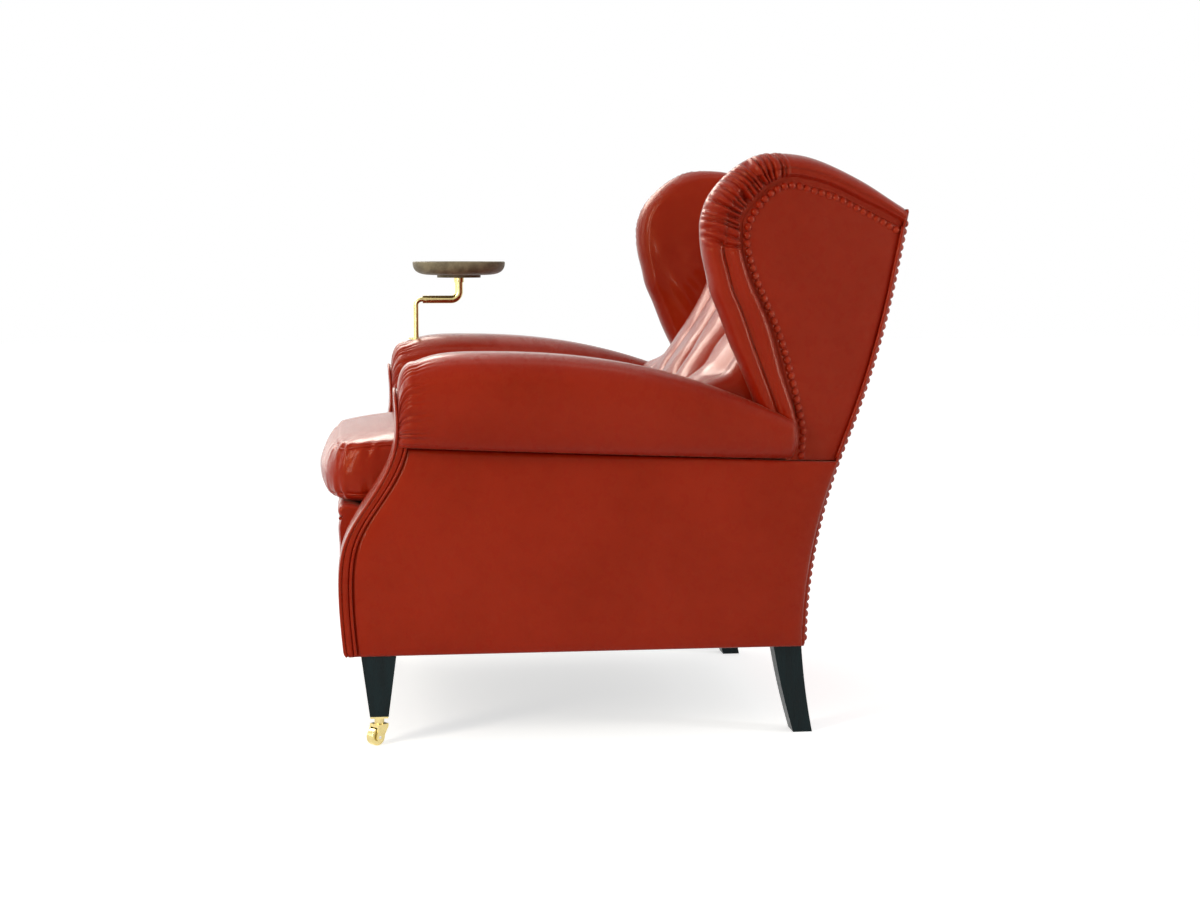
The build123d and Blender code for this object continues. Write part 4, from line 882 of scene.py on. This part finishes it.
def tufting_plan(arc_at, head_arc):
    """The buttons, and the folds between them, down to the seat and up over the top."""
    buttons, folds = [], []
    rows = [(arc_at(z), [button_step * (k - (n - 1) / 2) for k in range(n)]) for z, n in button_rows]
    (low_arc, low_x), (high_arc, high_x) = rows
    for x in low_x:
        buttons.append((x, low_arc))
        foot_x = x * 1.03 + 0.010 * math.sin(37 * x)
        folds.append(((x, low_arc), (foot_x, arc_at(pleat_foot)), 0.9))
        folds += [((x, low_arc), (other, high_arc), 1.0) for other in high_x if abs(other - x) < button_step]
    for x in high_x:
        buttons.append((x, high_arc))
        folds.append(((x, high_arc), (x * 1.04, head_arc), 0.9))
    return buttons, folds


def tufted_height(x, a, buttons, folds):
    """The pad swells between its folds, each a crease in a soft valley, and dips at its buttons."""
    base_level, swell_height, valley_half = -0.0085, 0.0165, 0.019
    crease_depth, crease_half = 0.0045, 0.0032
    button_depth, button_half = 0.0088, 0.0150
    wander = 0.0035 * np.sin(a * 42 + x * 19) + 0.002 * np.sin(a * 97 + 3 * x)
    swell = np.ones_like(x)
    crease = np.zeros_like(x)
    for (x0, a0), (x1, a1), weight in folds:
        dx, da = x1 - x0, a1 - a0
        long = math.hypot(dx, da)
        share = np.clip(((x - x0) * dx + (a - a0) * da) / long**2, 0, 1)
        off = np.hypot(x - x0 - share * dx + wander * np.sin(math.pi * share), a - a0 - share * da)
        ending = 1 - smoothstep(0.72, 1.0, share) * (0.9 if abs(dx) < 0.02 else 0.0)
        swell *= 1 - weight * ending * np.exp(-((off / valley_half) ** 1.1))
        crease = np.maximum(crease, weight * ending * np.exp(-((off / crease_half) ** 1.4)))
    height = base_level + swell_height * swell - crease_depth * crease
    height += 0.0016 * np.sin(x * 61 + 2.2 * np.sin(a * 13) + a * 9) * np.sin(a * 17 + 1)
    for bx, ba in buttons:
        height -= button_depth * np.exp(-((np.hypot(x - bx, a - ba) / button_half) ** 2))
    return height


def inner_back():
    """Tufted pad from the seat up and over the top rail, between the arms and the wings."""
    side_draw, side_reach, tail_draw, tail_reach = 0.020, 0.0085, 0.006, 0.012
    wing_draw, wing_draw_start, wing_draw_width = 0.036, 0.09, 0.20
    head_reach, wing_pad_depth, drag_depth = 0.045, 0.0605, 0.0015
    row_spacing, column_count, crowding = 0.0028, 215, 0.86
    line = curve(back_points, 2400)
    run = length_along(line)
    top = np.argmax(line[:, 1])

    def arc_at(z):
        return np.interp(z, line[:top, 1], run[:top])

    buttons, folds = tufting_plan(arc_at, run[top] + head_reach)
    arcs = np.r_[np.arange(0, run[-1], row_spacing), run[-1]]
    places = np.stack([np.interp(arcs, run, line[:, k]) for k in (0, 1)], axis=1)
    slope = np.gradient(places, axis=0)
    slope /= np.linalg.norm(slope, axis=1)[:, None]
    normal = np.stack([-slope[:, 1], slope[:, 0]], axis=1)
    wide = wing_x(places[:, 0], wing_pad_depth)
    on_arm = smoothstep(0.528, 0.552, places[:, 1])
    half = back_low_half + (wide - back_low_half) * on_arm
    half = np.where(arcs > run[top], wide, half)
    x = half[:, None] * crowded(1, column_count, crowding)[None, :]
    a = np.broadcast_to(arcs[:, None], x.shape)
    height = tufted_height(x, a, buttons, folds)
    # plain swell and loose drag lines under the pleats
    low = 1 - smoothstep(0.545, 0.640, places[:, 1])[:, None]
    height += low * drag_depth * np.sin(x * 40 + 2 * np.sin(a * 20)) * np.sin(a * 25)
    height = height * (1 - 0.5 * (1 - smoothstep(0.43, 0.50, places[:, 1])[:, None]))
    edge = half[:, None] - np.abs(x)
    height -= side_draw * np.exp(-edge / side_reach)
    upper = smoothstep(0.56, 0.62, places[:, 1])[:, None] * (1 - smoothstep(run[top] - 0.06, run[top], a))
    height -= wing_draw * upper * np.clip((np.abs(x) - wing_draw_start) / wing_draw_width, 0, 1) ** 1.6
    tail = np.clip(run[-1] - a, 0, None)
    height -= tail_draw * np.exp(-tail / tail_reach)
    # the pad's sides turn back along the wings
    turned = np.array([0.090, 0.060, 0.030, 0.015, 0.006])
    back = np.r_[turned, np.zeros(x.shape[1]), turned[::-1]]

    def with_sides(values):
        return np.pad(values, ((0, 0), (len(turned), len(turned))), mode="edge")

    x = with_sides(x)
    height = with_sides(height) - back
    above = smoothstep(0.52, 0.55, places[:, 1])[:, None] * (arcs < run[top] - 0.02)[:, None]
    x = x + np.sign(x) * above * 0.004 * (1 - np.exp(-back / 0.006))
    grid = np.empty(x.shape + (3,))
    grid[..., 0] = x
    grid[..., 1] = places[:, 0, None] + normal[:, 0, None] * height
    grid[..., 2] = places[:, 1, None] + normal[:, 1, None] * height
    return lattice(grid, flip=True)


piece("back_tufted", *inner_back(), hide_soft, "hide", stands_for=["inner_back"], soft=0.8)


# Seat front: hide over the front rail, a rolled lip, the platform under the cushion, the cloth underneath
seat_half = 0.2612
lip_half = 0.2602


def seat_front():
    """Hide over the front rail, closed round its back and ends."""
    rail_front, rail_top = -0.398, 0.3725
    points = [
        (-0.441, hem_line), (-0.4455, 0.20), (-0.4478, 0.26),
        (-0.4478, 0.32), (-0.4450, 0.360), (-0.436, 0.374),
    ]
    line = curve(points, 60)
    rows = []
    for place in crowded(seat_half, 96, 0.9):
        y, z = line[:, 0], line[:, 1]
        near = np.clip(np.minimum(z - hem, 0.366 - z), 0, None)
        lift = 0.004 * (1 - np.exp(-near / 0.012)) * (1 - math.exp(-(seat_half - abs(place)) / 0.008))
        y = y + 0.0042 - lift - 0.0008 * math.sin(place * 34) * np.sin(z * 38)
        y, z = np.r_[y, rail_front, rail_front], np.r_[z, rail_top, hem_line]
        rows.append(np.c_[np.full(len(y), place), y, z])
    return lattice(np.array(rows), around=True, caps=(0, -1), flip=True)


def front_roll():
    """Rolled lip in front of the platform, its ends rounded in."""
    lip_y, lip_z, lip_radius, lip_tail, rounded_end = -0.4362, 0.3706, 0.0118, 0.020, 0.007
    a = np.linspace(0, 2 * math.pi, 40, endpoint=False)
    rows = []
    for place in crowded(lip_half, 150, 0.95):
        pucker = 0.0007 * math.sin(place * 260) + 0.0005 * math.sin(place * 91 + 1)
        end = max(0.0, 1 - (lip_half - abs(place)) / rounded_end)
        radius = (lip_radius + pucker) * (0.45 + 0.55 * math.sqrt(1 - end**2))
        y = lip_y + radius * np.cos(a) + lip_tail * np.clip(np.cos(a), 0, None)
        rows.append(np.c_[np.full(len(a), place), y, lip_z + radius * np.sin(a)])
    return lattice(np.array(rows), around=True, caps=(0, -1), flip=True)


def lip_cord():
    """Piping under the lip."""
    cord_y, cord_z, cord_radius = -0.4445, 0.3590, 0.0026
    return cord_round([(x, cord_y, cord_z) for x in np.linspace(-0.2600, 0.2600, 120)], cord_radius)


piece("front_apron_cover", *combine(seat_front(), lip_cord()), hide, "hide", stands_for=["front_apron"])
piece("front_lip_roll", *front_roll(), hide_soft, "hide", stands_for=["front_lip"], soft=0.9)


def rim_sheet(corners, top, thick, sag=0.0, puckers=0.0):
    """A closed thin pad or cloth over a plan outline, which may sag between its edges."""
    point_spacing = 0.012
    outline = np.asarray(corners, float)
    points = []
    for a, b in zip(outline, np.roll(outline, -1, axis=0)):
        n = max(2, int(np.linalg.norm(b - a) / point_spacing))
        points += [a + (b - a) * i / n for i in range(n)]
    points = np.array(points)
    centre = np.array([0.0, (outline[:, 1].min() + outline[:, 1].max()) / 2])
    scale = np.abs(points - centre).max(axis=0)
    upper = []
    for ring_share in np.r_[np.linspace(1, 0.1, 26), 0.02]:
        place = centre + (points - centre) * ring_share
        across = place - centre
        bowl = np.clip(1 - (across / scale) ** 2, 0, 1)
        dip = sag * bowl[:, 0] * bowl[:, 1]
        wave = puckers * np.sin(across[:, 0] * 21 + across[:, 1] * 13) * dip / max(sag, 1e-6)
        upper.append(np.c_[place, np.full(len(place), top) - dip + wave])
    upper = np.array(upper)
    lower = upper.copy()
    lower[..., 2] -= thick
    grid = np.concatenate([upper[::-1], lower])
    return lattice(grid, around=True, caps=(0, -1), flip=True)


deck_front, deck_rear = -0.4025, 0.1205
deck_corners = [
    (-seat_half, deck_front), (seat_half, deck_front), (seat_half, deck_rear), (-seat_half, deck_rear),
]
deck = rim_sheet(deck_corners, top=0.3818, thick=0.0215, sag=0.004, puckers=0.0006)
piece("platform", *deck, platform_cloth, "cloth", stands_for=["seat_deck"], soft=0.7)


def under_cloth():
    """Cloth tacked tight under the rails, cut round the legs."""
    half, front_half, rear_half = 0.3580, 0.3062, 0.2997
    front, front_leg, rear_leg, rear = -0.4180, -0.3562, 0.2620, 0.2832
    corners = [
        (-front_half, front), (front_half, front), (front_half, front_leg), (half, front_leg),
        (half, rear_leg), (rear_half, rear_leg), (rear_half, rear), (-rear_half, rear),
        (-rear_half, rear_leg), (-half, rear_leg), (-half, front_leg), (-front_half, front_leg),
    ]
    return rim_sheet(corners, top=0.1514, thick=0.0012)


cloth = piece("under_cloth", *under_cloth(), platform_cloth, "cloth", stands_for=["bottom_cloth"])


# Outer back: hide over a thin pad, from the hem to the top rail
def outer_back():
    """Hide of the outer back, with a groove inside its nails and its edges turned in."""
    turned_depth, nails_from_side, nails_from_top, groove_half = 0.0065, 0.0190, 0.0270, 0.0045
    heights = np.r_[hem_line, np.linspace(hem_line, back_top, 150), back_top]
    core = crowded(1, 120, 0.9)
    t = np.r_[-1.0, -1.0, -0.9994, -0.9982, core[1:-1], 0.9982, 0.9994, 1.0, 1.0]
    grid = np.zeros((len(heights), len(t), 3))
    for i, z in enumerate(heights):
        y = rear_y(z)
        half = wing_x(y) - 0.0012
        x = half * t
        side = half - np.abs(x)
        below_top = back_top - z
        groove = np.exp(-(((side - nails_from_side) / groove_half) ** 2))
        groove = groove + math.exp(-(((below_top - nails_from_top) / groove_half) ** 2))
        swell = 0.0007 * (1 + np.sin(x * 17 + z * 9) * np.sin(z * 15 + 1))
        back = y - 0.0003 - 0.0013 * np.clip(groove, 0, 1) - swell * np.clip((side - 0.02) / 0.03, 0, 1)
        back -= 0.0018 * np.exp(-side / 0.0010) + 0.0018 * math.exp(-min(z - hem_line, below_top) / 0.0015)
        if i in (0, len(heights) - 1):
            back = np.full_like(x, y - turned_depth)
        back[0] = back[-1] = y - turned_depth
        grid[i, :, 0], grid[i, :, 1], grid[i, :, 2] = x, back, z
    return lattice(grid, flip=True)


piece("back_cover", *outer_back(), hide, "hide", stands_for=["back_outside_panel"])


# Loose seat cushion: boxed, crowned, its front bulging, drawn in between its corners
cushion_low, cushion_high = 0.3835, 0.5150
cushion_front, cushion_rear = -0.4580, 0.1130
cushion_half = 0.2545
cushion_middle = (cushion_front + cushion_rear) / 2
cushion_reach = (cushion_rear - cushion_front) / 2
bottom_seam = 0.3960
upper_seam, corner_drop = 0.4790, 0.0100
slack = 0.003


def top_seam(x, y):
    """Height of the upper seam round the cushion: lowest at the front corners."""
    near = np.clip((-y + cushion_middle) / cushion_reach, 0, 1) ** 6 * np.abs(x / cushion_half) ** 3
    return upper_seam - corner_drop * near


def box_form():
    """The cushion's boxed form before it is filled: its underside, its sides and its crowned top."""
    count, corner_power, foot_tuck = 200, 0.20, 0.010
    angles = np.linspace(0, 2 * math.pi, count, endpoint=False) + 1e-4
    cosine, sine = np.cos(angles), np.sin(angles)
    u = np.sign(cosine) * np.abs(cosine) ** corner_power
    v = np.sign(sine) * np.abs(sine) ** corner_power
    drawn = 0.004 * (1 - np.abs(u) ** 4) * (np.abs(v) > np.abs(u))
    drawn += 0.003 * (1 - np.abs(v) ** 4) * (np.abs(u) > np.abs(v))
    half_x, half_y = cushion_half - slack, cushion_reach - slack
    x0, y0 = u * half_x, v * half_y
    length = np.hypot(x0, y0)
    out_x, out_y = x0 / length, y0 / length
    front = np.clip(-v, 0, 1) ** 5 * (1 - 0.75 * np.abs(u) ** 3.5)
    bulge = 0.003 + 0.0270 * front
    seam = top_seam(x0, cushion_middle + y0)
    rows = []
    for share in np.linspace(0.02, 0.97, 24):
        rows.append(np.c_[x0 * share, cushion_middle + y0 * share, np.full(count, cushion_low + 0.001)])
    for share in np.linspace(0, 1, 30):
        z = cushion_low + 0.0015 + (seam - cushion_low - 0.0015) * share
        belly = math.sin(math.pi * share**0.85) ** 0.75 if 0 < share < 1 else 0.0
        move = bulge * belly - drawn - foot_tuck * max(0.0, 1 - share / 0.12) ** 2
        rows.append(np.c_[x0 + out_x * move, cushion_middle + y0 + out_y * move, z])
    for share in np.linspace(0.985, 0.02, 34):
        a, b = np.abs(u * share) ** 2.6, np.abs(v * share) ** 2.6
        crown = ((1 - a) * (1 - b)) ** 0.5 * (cushion_high - 0.006 - seam)
        x, y = (x0 - out_x * drawn) * share, (y0 - out_y * drawn) * share
        rows.append(np.c_[x, cushion_middle + y, seam + crown])
    return lattice(np.array(rows), around=True, caps=(0, -1), flip=True)


def mesh_object(name, part):
    """A plain object to work on, taken away again before the scene is done."""
    mesh = bpy.data.meshes.new(name)
    mesh.from_pydata([tuple(v) for v in part[0]], [], [tuple(f) for f in part[1]])
    mesh.validate()
    made = bpy.data.objects.new(name, mesh)
    bpy.context.collection.objects.link(made)
    return made


def settled(made):
    """Points and faces of an object with its modifiers in force."""
    graph = bpy.context.evaluated_depsgraph_get()
    shape = made.evaluated_get(graph)
    mesh = shape.to_mesh()
    points = np.array([v.co[:] for v in mesh.vertices])
    faces = [tuple(p.vertices) for p in mesh.polygons]
    shape.to_mesh_clear()
    return points, faces


def even_skin(part, voxel):
    """The same form with even faces, by a voxel remesh."""
    made = mesh_object("cushion_form", part)
    remesh = made.modifiers.new("remesh", "REMESH")
    remesh.mode = "VOXEL"
    remesh.voxel_size = voxel
    found = settled(made)
    bpy.data.objects.remove(made)
    return found


def seam_distance(points, inset):
    """How far each point is from the nearer of the cushion's two seams, which lie in by an inset."""
    corner_radius = 0.034
    px = np.abs(points[:, 0]) - (cushion_half - inset - corner_radius)
    py = np.abs(points[:, 1] - cushion_middle) - (cushion_reach - inset - corner_radius)
    off = np.hypot(np.maximum(px, 0), np.maximum(py, 0)) + np.minimum(np.maximum(px, py), 0) - corner_radius
    heights = (top_seam(points[:, 0], points[:, 1]), bottom_seam)
    return np.minimum(*[np.hypot(np.maximum(off * 0.6, -1), points[:, 2] - z) for z in heights])


def filled(part, voxel, most):
    """Blow the boxed form up as cloth, with its seams held in, and cap how far it moves."""
    last_step = 20
    points, faces = even_skin(part, voxel)
    made = mesh_object("cushion_cloth", (points, faces))
    held = made.vertex_groups.new(name="held")
    hold = np.exp(-((seam_distance(points, 2 * slack) / 0.012) ** 2))
    hold = np.maximum(hold, 0.9 * (points[:, 2] < cushion_low + 0.004))
    for k, weight in enumerate(hold):
        if weight > 0.02:
            held.add([k], float(weight), "REPLACE")
    cloth_modifier = made.modifiers.new("cloth", "CLOTH")
    settings = cloth_modifier.settings
    settings.quality = 5
    settings.use_pressure = True
    settings.uniform_pressure_force = 4
    settings.effector_weights.gravity = 0
    settings.vertex_group_mass = "held"
    settings.pin_stiffness = 1.0
    cloth_modifier.point_cache.frame_start, cloth_modifier.point_cache.frame_end = 1, last_step
    for step in range(1, last_step + 1):
        bpy.context.scene.frame_set(step)
    blown, _ = settled(made)
    bpy.context.scene.frame_set(1)
    bpy.data.objects.remove(made)
    move = blown - points
    length = np.linalg.norm(move, axis=1)
    move *= (most * np.tanh(length / most) / np.maximum(length, 1e-9))[:, None]
    return points + move, faces


def finer(part):
    """The same form with one smooth subdivision."""
    made = mesh_object("cushion_fine", part)
    smooth = made.modifiers.new("subdivide", "SUBSURF")
    smooth.levels = smooth.render_levels = 1
    found = settled(made)
    bpy.data.objects.remove(made)
    return found


def seat_cushion():
    """The filled cushion with its puckers and its two welts."""
    widest, reach, heart = 0.2575, 0.29, 0.44
    form = box_form()
    skin = filled(form, voxel=0.005, most=0.024)
    p, faces = finer(skin)
    p[:, 0] = np.clip(p[:, 0], -widest, widest)
    # puckers run off the seams, deepest at the corners
    across, ahead = p[:, 0] / cushion_half, (p[:, 1] - cushion_middle) / reach
    corner = np.abs(across) ** 6 * np.abs(ahead) ** 6
    around = np.arctan2(ahead, across)
    gap = seam_distance(p, 1.4 * slack)
    ripple = np.sin(around * 92 + 1.3 * np.sin(around * 17)) + 0.6 * np.sin(around * 151 + 2)
    depth = 0.0004 * (1 + 5.0 * np.clip(corner * 3, 0, 1)) * np.exp(-gap / 0.013)
    toward = np.array([0.0, cushion_middle, heart]) - p
    toward /= np.linalg.norm(toward, axis=1)[:, None]
    p = p + toward * (depth * ripple + 0.0030 * np.exp(-((gap / 0.0042) ** 2)))[:, None]
    p[:, 2] = np.maximum(p[:, 2], cushion_low)
    return combine((p, faces), *[welt_round(p, faces, low) for low in (False, True)])


def welt_round(points, faces, low):
    """Thin welt in one of the cushion's seams, laid on its skin."""
    well_outside, welt_radius, welt_sunk = 0.7, 0.0018, 0.0004
    skin = BVHTree.FromPolygons([Vector(point) for point in points], faces)
    path = []
    for angle in np.linspace(0, 2 * math.pi, 420, endpoint=False):
        direction = Vector((math.cos(angle), math.sin(angle), 0))
        start = Vector((0, cushion_middle, 0)) + direction * well_outside
        scale = 1 / max(abs(direction.x) / cushion_half, abs(direction.y) / cushion_reach)
        start.z = bottom_seam if low else top_seam(direction.x * scale, cushion_middle + direction.y * scale)
        path.append(skin.ray_cast(start, -direction)[0] - direction * welt_sunk)
    path = np.array([tuple(place) for place in path])
    for _ in range(2):
        path = (np.roll(path, 1, axis=0) + 2 * path + np.roll(path, -1, axis=0)) / 4
    return cord_round(path, welt_radius, sides=8, closed=True)


piece(
    "seat_cushion_cover", *seat_cushion(), hide_soft, "hide",
    body="cushion", stands_for=["seat_cushion"], soft=0.85,
)


# Camera, light and floor
def aim(obj, direction):
    """Turn a camera or a lamp to face a direction."""
    obj.rotation_mode = "QUATERNION"
    obj.rotation_quaternion = Vector(direction).to_track_quat("-Z", "Y")


camera_data = bpy.data.cameras.new("camera")
camera = bpy.data.objects.new("camera", camera_data)
bpy.context.collection.objects.link(camera)
bpy.context.scene.camera = camera
camera.location = (3.45, -0.4013, 0.7924)
camera_data.sensor_width = 36.0
camera_data.lens = 58.48
camera_turn, camera_tilt = math.radians(6.881), math.radians(5.789)
aim(camera, (
    -math.cos(camera_turn) * math.cos(camera_tilt), math.sin(camera_turn) * math.cos(camera_tilt),
    -math.sin(camera_tilt),
))


warm_white = (1.0, 0.93, 0.84)


def soft_light(name, place, target, size, power, colour=(1, 1, 1)):
    """A rectangular lamp that faces a target."""
    data = bpy.data.lights.new(name, "AREA")
    data.shape = "RECTANGLE"
    data.size, data.size_y = size
    data.energy = power
    data.color = colour
    light = bpy.data.objects.new(name, data)
    bpy.context.collection.objects.link(light)
    light.location = place
    aim(light, Vector(target) - Vector(place))
    return light


def bright_card(name, place, target, size, glow, colour):
    """Large card that shows only as a highlight on polished surfaces."""
    card = soft_light(name, place, target, size, glow * math.pi * size[0] * size[1], colour)
    card.visible_diffuse = False
    card.visible_camera = False


soft_light("overhead", (0.4, 0.1, 2.9), (0.0, 0.05, 0.5), (2.2, 0.6), 8)
soft_light("front_left", (2.2, -2.6, 1.7), (0.0, -0.1, 0.5), (0.6, 1.8), 58, warm_white)
soft_light("rear_right", (1.4, 2.8, 1.6), (0.0, 0.2, 0.6), (0.45, 1.8), 18)
bright_card("rear_card", (-1.9, -1.35, 2.2), (0.3, -0.3, 0.6), (2.3, 1.0), 12.0, warm_white)
bright_card("left_card", (0.2, -3.0, 1.5), (0.1, -0.2, 0.6), (0.8, 2.2), 3.0, warm_white)
bright_card("ridge_card", (2.5, -1.8, 1.25), (0.37, 0.25, 0.75), (0.25, 1.8), 15.0, warm_white)
bright_card("rear_edge_card", (1.0, 2.85, 0.55), (0.37, 0.35, 0.4), (0.35, 1.6), 14.0, warm_white)
bright_card("far_left_card", (-2.4, -1.9, 1.2), (0.0, -0.4, 0.5), (2.4, 2.0), 1.2, warm_white)

bpy.context.scene.view_settings.view_transform = "Standard"
white, black = (1, 1, 1, 1), (0, 0, 0, 1)
room_light, floor_glow, floor_reach = 0.50, 0.60, 14.0
world = bpy.data.worlds.new("studio")
bpy.context.scene.world = world
world.use_nodes = True
world.node_tree.nodes.clear()
studio = Nodes(world.node_tree)
seen = studio.node("ShaderNodeBackground", None, {"Color": white, "Strength": 1.0})
room = studio.node("ShaderNodeBackground", None, {"Color": white, "Strength": room_light})
surround = studio.node("ShaderNodeMixShader", None, {0: studio.background_ray(), 1: room, 2: seen})
studio.node("ShaderNodeOutputWorld", None, {"Surface": surround}, output=None)

floor_paint = (0.80, 0.81, 0.805, 1)
floor_finish = Finish("white floor", Base_Color=floor_paint, Roughness=0.9, Emission_Strength=floor_glow)
floor_finish.set("Emission Color", floor_finish.blend(floor_finish.background_ray(), black, white))
floor_mesh = bpy.data.meshes.new("floor")
floor_corners = [(x * floor_reach, y * floor_reach, 0) for x, y in ((-1, -1), (1, -1), (1, 1), (-1, 1))]
floor_mesh.from_pydata(floor_corners, [], [(0, 1, 2, 3)])
floor = bpy.data.objects.new("floor", floor_mesh)
bpy.context.collection.objects.link(floor)
floor_mesh.materials.append(floor_finish.material)
